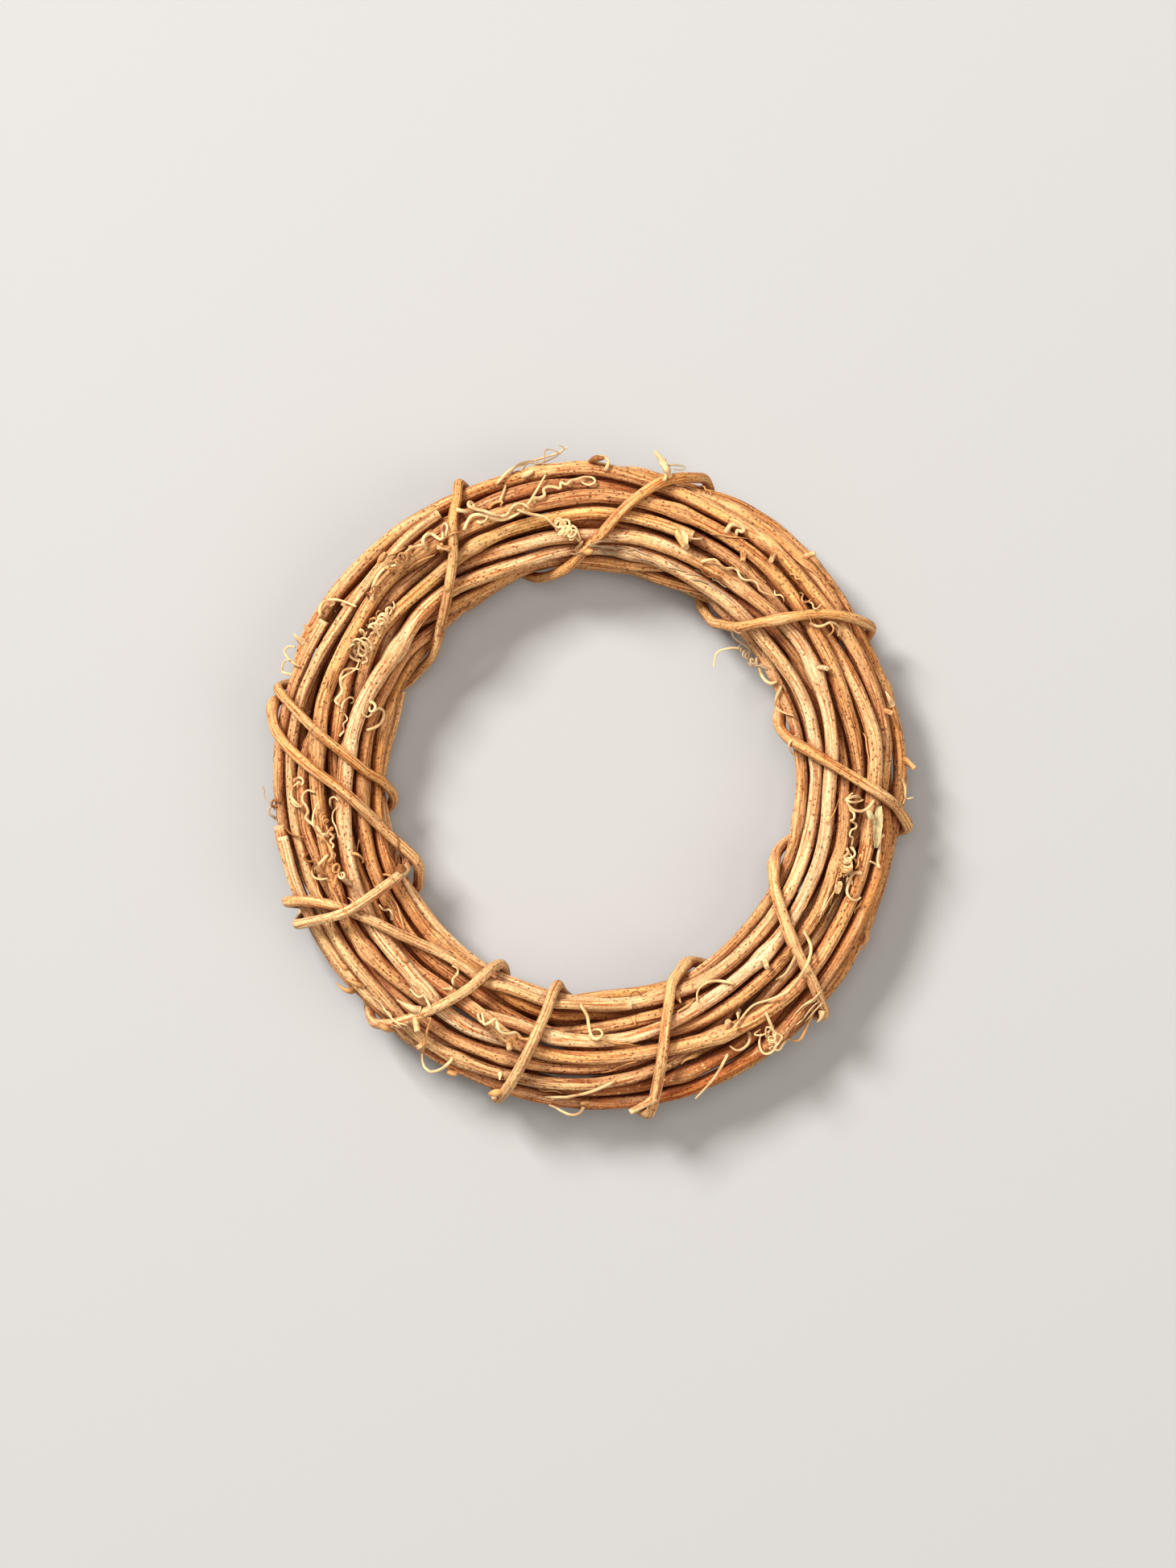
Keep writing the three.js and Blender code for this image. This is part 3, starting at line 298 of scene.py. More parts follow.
@dataclass
class CourseReader:
    """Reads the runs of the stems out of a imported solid, from inside it.

    A probe travels down the middle of each tube. At each step it measures the walls across
    its way in opposite pairs, which gives the middle and the thickness. Pairs that look into
    another stem's opening are left out. Where the wall ahead is close, the probe looks for
    the way round a bend, and stops if there is none.
    Fields without MM are counts, or shares of a radius or of a step.
    """

    # Pairs of probes across a tube, directions tried round a bend, and their tilts in degrees
    pairs: int = 6
    directions: int = 16
    tilts: tuple[int, ...] = (30, 50, 70, 90)
    # Length of a step, and how far the probe looks ahead and round a bend
    stride: float = 0.45
    sight: float = 4.0
    far_sight: float = 8.0
    # Widest opening that still counts as a tube, and clear length that counts as a way on
    widest: float = 1.6
    clear_way: float = 2.6
    # The probe stops this near to a wall ahead, or where it hardly gets on
    wall_ahead: float = 1.3
    least_move: float = 0.2
    # How much of its old way it keeps, and how much of each new radius it takes over
    kept_way: float = 0.35
    new_size: float = 0.15
    most_steps: int = 2500
    # A probe that comes back to a place more than this many steps old loses its last steps
    recent: int = 12
    retreat: int = 7
    # A shoot's run ends this deep in its main stem. One that starts farther from it than the
    # root gap goes on from another shoot, if that is within the bend gap
    joint: float = 0.75
    root_gap: float = 1.35
    bend_gap: float = 3.5
    # A place this near to a known course is part of it, and so is a corner this near to its skin
    own_room: float = 1.4
    own_skin: float = 1.25
    claim: float = 0.4 * MM
    # Shorter runs are left out, and smaller faces are not looked behind
    least_places: int = 5
    smallest_face: float = 0.1 * MM * MM
    # The probe starts this far behind a face, in tubes from the thinnest to the thickest
    skin: float = 0.01 * MM
    thinnest: float = 0.5 * MM
    thickest: float = 10 * MM
    # Median radius above which a shoot is a cut stub
    stub_radius: float = 0.85 * MM
    walls: BVHTree | None = None

    def read(self, node: bpy.types.Object) -> list[Course]:
        """Read every stem of a node, the main one first.

        Args:
            node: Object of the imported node.

        Returns:
            The courses. Shoots start inside the main stem.
        """
        corners = corners_of(node.data)
        node.data.calc_loop_triangles()
        faces = np.empty(len(node.data.loop_triangles) * 3, dtype=np.int64)
        node.data.loop_triangles.foreach_get("vertices", faces)
        faces = faces.reshape(-1, 3)
        self.walls = BVHTree.FromPolygons(corners.tolist(), faces.tolist())
        sides = corners[faces]
        across = np.cross(sides[:, 1] - sides[:, 0], sides[:, 2] - sides[:, 0])
        area = np.linalg.norm(across, axis=1) / 2
        taken = np.zeros((len(area), 3), dtype=bool)
        courses: list[Course] = []
        for face in np.argsort(-area):
            if area[face] < self.smallest_face:
                break
            if taken[face].all():
                continue
            course = self._course_at(sides[face], across[face], courses)
            if course is not None:
                courses.append(course)
                taken |= self._claimed(sides, course)
        return [courses[0]] + [self._rooted(shoot, courses) for shoot in courses[1:]]

    def _clear(self, here: Vector, line: Vector, reach: float) -> float | None:
        """Clear length along a line, or None where no wall is within reach."""
        return self.walls.ray_cast(here, line, reach)[3]

    def _course_at(
        self, face: np.ndarray, across: np.ndarray, known: list[Course]
    ) -> Course | None:
        """Follow the stem behind a face both ways.

        Args:
            face: Corners of the face to start behind.
            across: Vector square to the face, outwards.
            known: Courses already read from this solid.

        Returns:
            The course, or None where the place is in a joint or already read.
        """
        edges = np.roll(face, -1, axis=0) - face
        middle_edge = int(np.argsort(np.linalg.norm(edges, axis=1))[1])
        way = Vector(edges[middle_edge]).normalized()
        inward = Vector(-across).normalized()
        door = Vector(face.mean(axis=0)) + inward * self.skin
        depth = self._clear(door, inward, self.thickest)
        if depth is None or depth < self.thinnest:
            return None
        main = known[0] if known else None
        if main and depth > self.widest * main.usual:
            return None
        found = self._middle(door + inward * depth / 2, way, depth / 2)
        if found is None:
            return None
        middle, size = found
        if any(course.gaps(middle).min() < self.own_room * size for course in known):
            return None
        ahead = self._travel(middle, way, size, main)
        behind = self._travel(middle, -way, size, main)
        table = np.array(behind[::-1] + [(*middle, size)] + ahead)
        doubled = any(self._same(table, course) for course in known[1:])
        if doubled or len(table) < self.least_places:
            return None
        stem = Stem.CANE
        if main:
            stout = float(np.median(table[:, 3])) > self.stub_radius
            stem = Stem.STUB if stout else Stem.TENDRIL
        return Course(table[:, :3], table[:, 3], stem)

    def _same(self, table: np.ndarray, course: Course) -> bool:
        """Tell whether a run goes over a course that has been read."""
        gaps = np.linalg.norm(table[:, None, :3] - course.points[None], axis=2).min(axis=1)
        return bool(np.median(gaps) < course.usual)

    def _travel(
        self, start: Vector, way: Vector, size: float, main: Course | None
    ) -> list[tuple]:
        """Step along the inside of a tube until it ends or opens into its main stem.

        Args:
            start: Middle of the tube where the probe starts.
            way: Unit vector along the tube.
            size: Radius at the start.
            main: The main stem, where the tube is a shoot of it.

        Returns:
            Places and radii after the start.
        """
        run: list[tuple] = []
        here = start
        while len(run) < self.most_steps:
            step = self.stride * size
            ahead = self._clear(here, way, self.sight * size)
            if ahead is not None and ahead < self.wall_ahead * step:
                turned = self._way_round(here, way, size)
                if turned is None:
                    run.append((*(here + way * ahead), size))
                    break
                way = turned
            found = self._middle(here + way * step, way, size)
            if found is None:
                break
            middle, wide = found
            if main is not None:
                gaps = main.gaps(middle)
                if gaps.min() < self.joint * main.radii[int(gaps.argmin())]:
                    break
            moved = middle - here
            if moved.length < self.least_move * step:
                break
            way = (way * self.kept_way + moved.normalized() * (1 - self.kept_way)).normalized()
            size = (1 - self.new_size) * size + self.new_size * wide
            here = middle
            # Back where it has been before: the probe has turned round, so its last steps go
            if len(run) > self.recent + 2:
                passed = np.array(run[: -self.recent])[:, :3] - np.array(here)
                if np.linalg.norm(passed, axis=1).min() < 0.5 * size:
                    return run[: -self.retreat]
            run.append((*here, wide))
        return run

    def _middle(self, place: Vector, way: Vector, size: float) -> tuple[Vector, float] | None:
        """Middle of a tube across a way.

        Args:
            place: A point inside the tube.
            way: Unit vector along the tube.
            size: The tube's radius so far.

        Returns:
            The middle and the radius there, or None where too few walls are near.
        """
        side = way.orthogonal().normalized()
        other = way.cross(side)
        reach = self.sight * size
        wide = size
        for _ in range(2):
            matrix = np.zeros((2, 2))
            shift = np.zeros(2)
            halves = []
            for k in range(self.pairs):
                turn = math.pi * k / self.pairs
                c, s = math.cos(turn), math.sin(turn)
                line = side * c + other * s
                one, two = self._clear(place, line, reach), self._clear(place, -line, reach)
                if one is None or two is None or one + two > 2 * self.widest * size:
                    continue
                half = (one + two) / 2
                weight = (size / max(half, 0.3 * size)) ** 2
                matrix += weight * np.array([[c * c, c * s], [c * s, s * s]])
                shift += weight * (one - two) / 2 * np.array([c, s])
                halves.append(half)
            if len(halves) < self.pairs // 2:
                return None
            x, y = np.linalg.solve(matrix, shift)
            place = place + side * float(x) + other * float(y)
            wide = float(np.median(halves))
        return place, wide

    def _way_round(self, here: Vector, way: Vector, size: float) -> Vector | None:
        """Look for the way round a bend.

        Args:
            here: Middle of the tube where the wall ahead is close.
            way: Unit vector along the tube so far.
            size: The tube's radius.

        Returns:
            The open way nearest to the present one, or None at the end of the tube.
        """
        side = way.orthogonal().normalized()
        other = way.cross(side)
        reach = self.far_sight * size
        for tilt in self.tilts:
            rise, spread = math.cos(math.radians(tilt)), math.sin(math.radians(tilt))
            best, most = None, self.clear_way * size
            for k in range(self.directions):
                turn = math.tau * k / self.directions
                line = way * rise + (side * math.cos(turn) + other * math.sin(turn)) * spread
                free = self._clear(here, line, reach) or reach
                if free > most:
                    best, most = line, free
            if best is not None:
                return best.normalized()
        return None

    def _claimed(self, sides: np.ndarray, course: Course) -> np.ndarray:
        """Corners of faces that lie on a course.

        Args:
            sides: Corners of all the faces.
            course: The course that has been read.

        Returns:
            For each face, True for each of its corners on the course.
        """
        flat = sides.reshape(-1, 3)
        nearest = np.full(len(flat), np.inf)
        for point, radius in zip(course.points, course.radii):
            far = np.linalg.norm(flat - point, axis=1) - radius * self.own_skin
            nearest = np.minimum(nearest, far)
        return (nearest < self.claim).reshape(-1, 3)

    def _rooted(self, shoot: Course, courses: list[Course]) -> Course:
        """Turn a shoot root first and start it inside the stem it grows on.

        Args:
            shoot: The shoot.
            courses: All courses of the node, the main stem first.

        Returns:
            The shoot from its root on. A part of a bent shoot goes on from the other part.
        """
        main = courses[0]
        gap, root, turned = self._nearest(shoot, main.points)
        if gap > self.root_gap * main.usual and len(courses) > 2:
            others = [course.points for course in courses[1:] if course is not shoot]
            near, place, back = self._nearest(shoot, np.vstack(others))
            if near < self.bend_gap * shoot.usual:
                root, turned = place, back
        points, radii = shoot.points, shoot.radii
        if turned:
            points, radii = points[::-1], radii[::-1]
        return Course(np.vstack([root, points]), np.concatenate([radii[:1], radii]), shoot.stem)

    def _nearest(self, shoot: Course, places: np.ndarray) -> tuple[float, np.ndarray, bool]:
        """Find the place that an end of a shoot is nearest to.

        Args:
            shoot: The shoot.
            places: Places on other stems.

        Returns:
            The gap, the place, and whether the shoot's last end is the near one.
        """
        gaps = np.linalg.norm(places[None] - shoot.points[[0, -1]][:, None], axis=2)
        near = gaps.min(axis=1)
        return gaps.min(), places[int(gaps[near.argmin()].argmin())], bool(near[1] < near[0])


@dataclass(frozen=True)
class Gloss:
    """Gloss of a surface, with the strength and the depth of its fine relief."""

    roughness: float
    ior: float
    specular: float
    strength: float
    depth: float


def begun(name: str) -> bpy.types.Material:
    """Begin a material.

    Args:
        name: Its name.

    Returns:
        A material that has no nodes yet.
    """
    finish = bpy.data.materials.new(name)
    finish.use_nodes = True
    finish.node_tree.nodes.clear()
    return finish


def ended(tree: Tree, colour: Socket, relief: Socket, gloss: Gloss) -> None:
    """End a material with its relief and its shader.

    Args:
        tree: The material's tree.
        colour: Its colour.
        relief: Height of its fine relief.
        gloss: Its gloss.
    """
    bump = add(
        tree, "ShaderNodeBump",
        {"Height": relief, "Strength": gloss.strength, "Distance": gloss.depth},
    )
    shader = add(
        tree, "ShaderNodeBsdfPrincipled",
        {"Base Color": colour, "Normal": bump, "Roughness": gloss.roughness,
         "IOR": gloss.ior, "Specular IOR Level": gloss.specular},
    )
    add(tree, "ShaderNodeOutputMaterial", {"Surface": shader})


@dataclass(frozen=True)
class BarkFinish:
    """Bark of dead, air-dried grapevine: matt, ridged lengthwise and flecked with dark pores.

    Painted shade darkens the low parts of its ridges and where the vines lie close; crests are worn
    pale, cut wood is straw-coloured.
    """

    slot: Slot
    # Colour of the dark fibres, which also paints shade in the low parts of the ridges
    fibre_and_furrow_shade: str
    worn: str
    cut: str
    fleck: str
    flecks: float
    # Colour of the painted shade where the vines lie close together, and how far off a neighbour
    # still darkens it
    painted_shade: str = "#a05414"
    painted_shade_reach: float = 7 * MM
    ridge_share: float = 0.3
    fleck_strength: float = 0.85
    pit_depth: float = 0.6
    grit_height: float = 0.7
    gloss: Gloss = Gloss(0.76, 1.5, 0.25, 0.6, 0.25 * MM)

    def material(self) -> bpy.types.Material:
        """Make the material.

        Returns:
            A material that follows the grain stored on the mesh.
        """
        finish = begun(f"dry_grapevine_bark_{self.slot.value}")
        tree = finish.node_tree
        stored = {"tone": "Color", "grain": "Vector", "ridge": "Fac", "pale": "Fac"}
        tone, grain, ridge, pale = (
            add(tree, "ShaderNodeAttribute", out=out, attribute_name=name)
            for name, out in stored.items()
        )
        patterns = (
            # Fibres about 0.5 mm across and 15 mm long
            (NOISE, (2000, 2000, 65), {"Detail": 3.0, "Roughness": 0.6}),
            # Weathered patches about 4 mm across and 20 mm long
            (NOISE, (260, 260, 50), {"Detail": 2.0, "Distortion": 0.4}),
            # Grit of the bark: 0.2 mm on the real vine, drawn 0.6 mm so that it shows
            (NOISE, (1700, 1700, 1300), {"Detail": 2.0, "Roughness": 0.7}),
            # Pores: 0.3 mm wide on the real vine, drawn 0.6 mm wide so that they show
            ("ShaderNodeTexVoronoi", (950, 950, 680), {"Randomness": 1.0}),
        )
        fibres, patches, grit, pores = (
            add(tree, kind, {
                "Vector": add(tree, "ShaderNodeMapping", {"Vector": grain, "Scale": scale}),
                "Scale": 1.0, **details,
            })
            for kind, scale, details in patterns
        )
        # Darkening: the dark fibres, and painted shade in the low parts of the ridged form
        low = add(tree, MATH, {0: ridge, 1: self.ridge_share, 2: fibres}, operation="MULTIPLY_ADD")
        # Painted shade: the bark is darkened where the vines lie close together and little light
        # reaches it
        reach = {"Distance": self.painted_shade_reach}
        sky = add(tree, "ShaderNodeAmbientOcclusion", reach, "AO", samples=8)
        # Each row turns a range of a pattern into a range of shares
        core, fibre_and_furrow_shade_share, worn, speckle, sunk = (
            add(
                tree, "ShaderNodeMapRange",
                {"Value": value, "From Min": first, "From Max": last, "To Min": low_share,
                 "To Max": high_share},
            )
            for value, first, last, low_share, high_share in (
                (pores, 0.16, 0.4, 1.0, 0.0),
                (low, 0.5, 0.74, 0.92, 0.0),
                (patches, 0.42, 0.66, 0.0, 0.55),
                (grit, 0.3, 0.7, 0.58, 1.24),
                (sky, 0.12, 0.84, 1.0, 0.0),
            )
        )
        pick = add(
            tree, MATH, {0: pores.node.outputs["Color"], 1: 1.0 - self.flecks},
            operation="GREATER_THAN",
        )
        pits = add(tree, MATH, {0: core, 1: pick}, operation="MULTIPLY")
        flecks = add(tree, MATH, {0: pits, 1: self.fleck_strength}, operation="MULTIPLY")
        # Tone darkened for the dark fibres and for the painted shade in the low parts of the ridges
        dark = add(
            tree, MIX, {SHARE: 1.0, BELOW: tone, ABOVE: linear(self.fibre_and_furrow_shade)}, MIXED,
            data_type="RGBA", blend_type="MULTIPLY",
        )
        colour = tone
        for share, above, blend in (
            (worn, linear(self.worn), "MIX"), (fibre_and_furrow_shade_share, dark, "MIX"),
            (flecks, linear(self.fleck), "MIX"), (1.0, speckle, "MULTIPLY"),
            # The last layer paints shade where the vines lie close together
            (pale, linear(self.cut), "MIX"), (sunk, linear(self.painted_shade), "MULTIPLY"),
        ):
            colour = add(
                tree, MIX, {SHARE: share, BELOW: colour, ABOVE: above}, MIXED,
                data_type="RGBA", blend_type=blend,
            )
        relief = fibres
        for pattern, height in ((pits, -self.pit_depth), (grit, self.grit_height)):
            relief = add(tree, MATH, {0: pattern, 1: height, 2: relief}, operation="MULTIPLY_ADD")
        ended(tree, colour, relief, self.gloss)
        return finish


@dataclass(frozen=True)
class Mottle:
    """A stain that follows the grain.

    Scale is how often its pattern comes in a metre, across the growth twice and along it. The
    stain starts at one value of the pattern and has its full strength at another.
    """

    colour: str
    scale: tuple[float, float, float]
    detail: float
    start: float
    full: float
    strength: float


@dataclass(frozen=True)
class MottledFinish:
    """Dry growth with stains along its grain. Its fine relief follows the first of them."""

    name: str
    mottles: tuple[Mottle, ...]
    gloss: Gloss

    def material(self) -> bpy.types.Material:
        """Make the material.

        Returns:
            A material that follows the grain stored on the mesh.
        """
        finish = begun(self.name)
        tree = finish.node_tree
        colour = add(tree, "ShaderNodeAttribute", out="Color", attribute_name="tone")
        grain = add(tree, "ShaderNodeAttribute", out="Vector", attribute_name="grain")
        patterns = []
        for mottle in self.mottles:
            place = add(tree, "ShaderNodeMapping", {"Vector": grain, "Scale": mottle.scale})
            pattern = add(tree, NOISE, {"Vector": place, "Scale": 1.0, "Detail": mottle.detail})
            mask = add(
                tree, "ShaderNodeMapRange",
                {"Value": pattern, "From Min": mottle.start, "From Max": mottle.full,
                 "To Max": mottle.strength},
            )
            colour = add(
                tree, MIX, {SHARE: mask, BELOW: colour, ABOVE: linear(mottle.colour)}, MIXED,
                data_type="RGBA",
            )
            patterns.append(pattern)
        ended(tree, colour, patterns[0], self.gloss)
        return finish


@dataclass(frozen=True)
class TendrilFinish(MottledFinish):
    """Dried tendril: woody, smooth and pale, with a faint brown mottle along it."""

    name: str = "dried_tendril_straw"
    # Mottle about 1 mm across and 5 mm long
    mottles: tuple[Mottle, ...] = (Mottle("#a8713e", (1000, 1000, 220), 3.0, 0.48, 0.72, 0.8),)
    gloss: Gloss = Gloss(0.6, 1.5, 0.35, 0.4, 0.1 * MM)


@dataclass(frozen=True)
class HuskFinish(MottledFinish):
    """Dry husk: papery, matt, grey-green going to straw, with fine ribs from base to tip."""

    name: str = "dry_papery_husk"
    mottles: tuple[Mottle, ...] = (
        # Ribs 0.6 mm apart, wandering a little
        Mottle("#8f8154", (1700, 90, 1), 3.0, 0.5, 0.66, 0.7),
        # Brown age spots about 2 mm wide
        Mottle("#a9774a", (450, 450, 450), 2.0, 0.52, 0.68, 0.75),
    )
    gloss: Gloss = Gloss(0.82, 1.46, 0.22, 0.6, 0.2 * MM)


@dataclass(frozen=True)
class Sweep:
    """How finely a kind of stem is swept, and how its skin is shaped."""

    sides: int
    spacing: float
    blur: float
    fullness: float
    ridge: float
    lump: float


# A course with the linear tone and the paleness of each of its points
Dressed = tuple[Course, np.ndarray, np.ndarray]


@dataclass
class StemSweeper:
    """Sweeps stems along their courses with Geometry Nodes, ridges and lumps included."""

    canes: Sweep = Sweep(36, 1.4 * MM, 4.0 * MM, fullness=0.95, ridge=0.13, lump=0.1)
    binders: Sweep = Sweep(24, 1.1 * MM, 1.9 * MM, fullness=1.04, ridge=0.06, lump=0.08)
    stubs: Sweep = Sweep(18, 0.45 * MM, 0.6 * MM, fullness=1.0, ridge=0.12, lump=0.2)
    tendrils: Sweep = Sweep(9, 0.4 * MM, 0.7 * MM, fullness=1.12, ridge=0.05, lump=0.14)
    shoots: Sweep = Sweep(8, 0.4 * MM, 0.28 * MM, fullness=1.0, ridge=0.06, lump=0.16)
    ridges_round: float = 2.5
    lumps_round: float = 0.7
    ridge_length: float = 34 * MM
    lump_length: float = 9 * MM
    # Each stem of a piece starts at its own place in the noise
    noise_start: float = 1.3
    noise_step: float = 3.7
    tree: Tree | None = None
    ids: dict[str, str] = field(default_factory=dict)

    def prepare(self) -> None:
        """Build the node tree with named inputs."""
        tree = bpy.data.node_groups.new("vine_sweep", "GeometryNodeTree")
        kinds = {
            "Geometry": "Geometry", "Sides": "Int", "Ridge Depth": "Float", "Lump Depth": "Float",
            "Ridges Round": "Float", "Lumps Round": "Float", "Ridge Length": "Float",
            "Lump Length": "Float", "Skin": "Material",
        }
        for name, kind in kinds.items():
            kind = f"NodeSocket{kind}"
            made = tree.interface.new_socket(name, in_out="INPUT", socket_type=kind)
            self.ids[name] = made.identifier
        tree.interface.new_socket("Geometry", in_out="OUTPUT", socket_type="NodeSocketGeometry")
        given = add(tree, "NodeGroupInput").node.outputs
        thick, along, around = (
            add(tree, "GeometryNodeInputNamedAttribute", {"Name": name}, data_type=kind)
            for name, kind in (("thick", "FLOAT"), ("along", "FLOAT"), ("around", "FLOAT_VECTOR"))
        )
        curve = add(tree, "GeometryNodeMeshToCurve", {"Mesh": given["Geometry"]})
        circle = add(
            tree, "GeometryNodeCurvePrimitiveCircle",
            {"Resolution": given["Sides"], "Radius": 1.0}, mode="RADIUS",
        )
        place = add(tree, "GeometryNodeInputPosition")
        profile = add(
            tree, "GeometryNodeStoreNamedAttribute",
            {"Geometry": circle, "Name": "around", "Value": place},
            data_type="FLOAT_VECTOR", domain="POINT",
        )
        tube = add(
            tree, "GeometryNodeCurveToMesh",
            {"Curve": curve, "Profile Curve": profile, "Scale": thick, "Fill Caps": True},
        )
        # The skin stands out by shares of the radius, with ridges on top of lumps
        ridge, lump = (
            self._noise(tree, around, along, given[turns], given[length], detail)
            for turns, length, detail in (
                ("Ridges Round", "Ridge Length", 2.0), ("Lumps Round", "Lump Length", 1.0),
            )
        )
        rise, swell = (
            add(tree, MATH, {0: noise, 1: 0.5}, operation="SUBTRACT") for noise in (ridge, lump)
        )
        rise = add(tree, MATH, {0: rise, 1: given["Ridge Depth"]}, operation="MULTIPLY")
        swell = add(
            tree, MATH, {0: swell, 1: given["Lump Depth"], 2: rise}, operation="MULTIPLY_ADD"
        )
        reach = add(tree, MATH, {0: swell, 1: 2.0}, operation="MULTIPLY")
        reach = add(tree, MATH, {0: reach, 1: thick}, operation="MULTIPLY")
        normal = add(tree, "GeometryNodeInputNormal")
        offset = add(tree, VECTOR_MATH, {0: normal, "Scale": reach}, operation="SCALE")
        across = add(tree, VECTOR_MATH, {0: around, "Scale": thick}, operation="SCALE")
        lengthwise = add(tree, "ShaderNodeCombineXYZ", {"Z": along})
        grain = add(tree, VECTOR_MATH, {0: across, 1: lengthwise}, operation="ADD")
        made = tube
        for name, value, kind in (("ridge", ridge, "FLOAT"), ("grain", grain, "FLOAT_VECTOR")):
            made = add(
                tree, "GeometryNodeStoreNamedAttribute",
                {"Geometry": made, "Name": name, "Value": value}, data_type=kind, domain="POINT",
            )
        made = add(tree, "GeometryNodeSetPosition", {"Geometry": made, "Offset": offset})
        made = add(tree, "GeometryNodeSetShadeSmooth", {"Geometry": made})
        skin = given["Skin"]
        made = add(tree, "GeometryNodeSetMaterial", {"Geometry": made, "Material": skin})
        made = add(tree, "GeometryNodeRealizeInstances", {"Geometry": made})
        add(tree, "NodeGroupOutput", {"Geometry": made})
        self.tree = tree

    def _noise(
        self, tree: Tree, around: Socket, along: Socket, turns: Socket, length: Socket,
        detail: float,
    ) -> Socket:
        """Noise that is drawn out along the stem.

        Args:
            tree: The sweep's tree.
            around: Place on the unit circle of the stem's section.
            along: Place along the stem.
            turns: How busy the noise is round the stem.
            length: Length of one ridge or lump.
            detail: Number of finer layers.

        Returns:
            The noise, about 0.5 in the mean.
        """
        across = add(tree, VECTOR_MATH, {0: around, "Scale": turns}, operation="SCALE")
        share = add(tree, MATH, {0: along, 1: length}, operation="DIVIDE")
        drawn = add(tree, "ShaderNodeCombineXYZ", {"Z": share})
        place = add(tree, VECTOR_MATH, {0: across, 1: drawn}, operation="ADD")
        return add(tree, NOISE, {"Vector": place, "Scale": 1.0, "Detail": detail})

    def style_of(self, stem: Stem, binder: bool) -> Sweep:
        """How a kind of stem is swept."""
        main = self.binders if binder else self.canes
        return {Stem.CANE: main, Stem.STUB: self.stubs, Stem.TENDRIL: self.tendrils}[stem]

    def sweep(
        self, name: str, dressed: list[Dressed], style: Sweep, skin: bpy.types.Material
    ) -> bpy.types.Object:
        """Sweep courses into one plain mesh.

        Args:
            name: Name of the piece.
            dressed: The courses.
            style: How they are swept.
            skin: Their material.

        Returns:
            The object, with its place in its mesh.
        """
        points, edges, thick, along, pale, tone = [], [], [], [], [], []
        for number, (course, tones, paleness) in enumerate(dressed):
            base, count = len(points), len(course.points)
            points.extend(course.points.tolist())
            edges.extend((base + i, base + i + 1) for i in range(count - 1))
            thick.append(course.radii)
            along.append(travelled(course.points) + self.noise_step * number + self.noise_start)
            pale.append(paleness)
            tone.append(tones)
        mesh = bpy.data.meshes.new(f"{name}_run")
        mesh.from_pydata(points, edges, [])
        for key, values in (("thick", thick), ("along", along), ("pale", pale)):
            store(mesh, key, "FLOAT", values)
        store(mesh, "tone", "FLOAT_COLOR", tone)
        run = shown(f"{name}_run", mesh)
        modifier = run.modifiers.new("vine_sweep", "NODES")
        modifier.node_group = self.tree
        for key, value in (
            ("Sides", style.sides), ("Ridge Depth", style.ridge), ("Lump Depth", style.lump),
            ("Ridges Round", self.ridges_round), ("Lumps Round", self.lumps_round),
            ("Ridge Length", self.ridge_length), ("Lump Length", self.lump_length),
            ("Skin", skin),
        ):
            modifier[self.ids[key]] = value
        graph = bpy.context.evaluated_depsgraph_get()
        made = bpy.data.meshes.new_from_object(run.evaluated_get(graph))
        made.name = name
        corners = corners_of(made)
        # The wreath lies on the floor, so no ridge reaches below it
        corners[:, 2] = np.maximum(corners[:, 2], 0.0)
        made.vertices.foreach_set("co", corners.ravel())
        bpy.data.objects.remove(run)
        bpy.data.meshes.remove(mesh)
        return shown(name, made)


def joined(name: str, parts: list[bpy.types.Object]) -> bpy.types.Object:
    """Join objects into one.

    Args:
        name: Name of the result.
        parts: Objects with their place in their meshes.

    Returns:
        The first object, which now holds all the meshes.
    """
    first = parts[0]
    if len(parts) > 1:
        with bpy.context.temp_override(
            active_object=first, object=first, selected_objects=parts,
            selected_editable_objects=parts,
        ):
            bpy.ops.object.join()
    first.name = name
    first.data.name = name
    return first


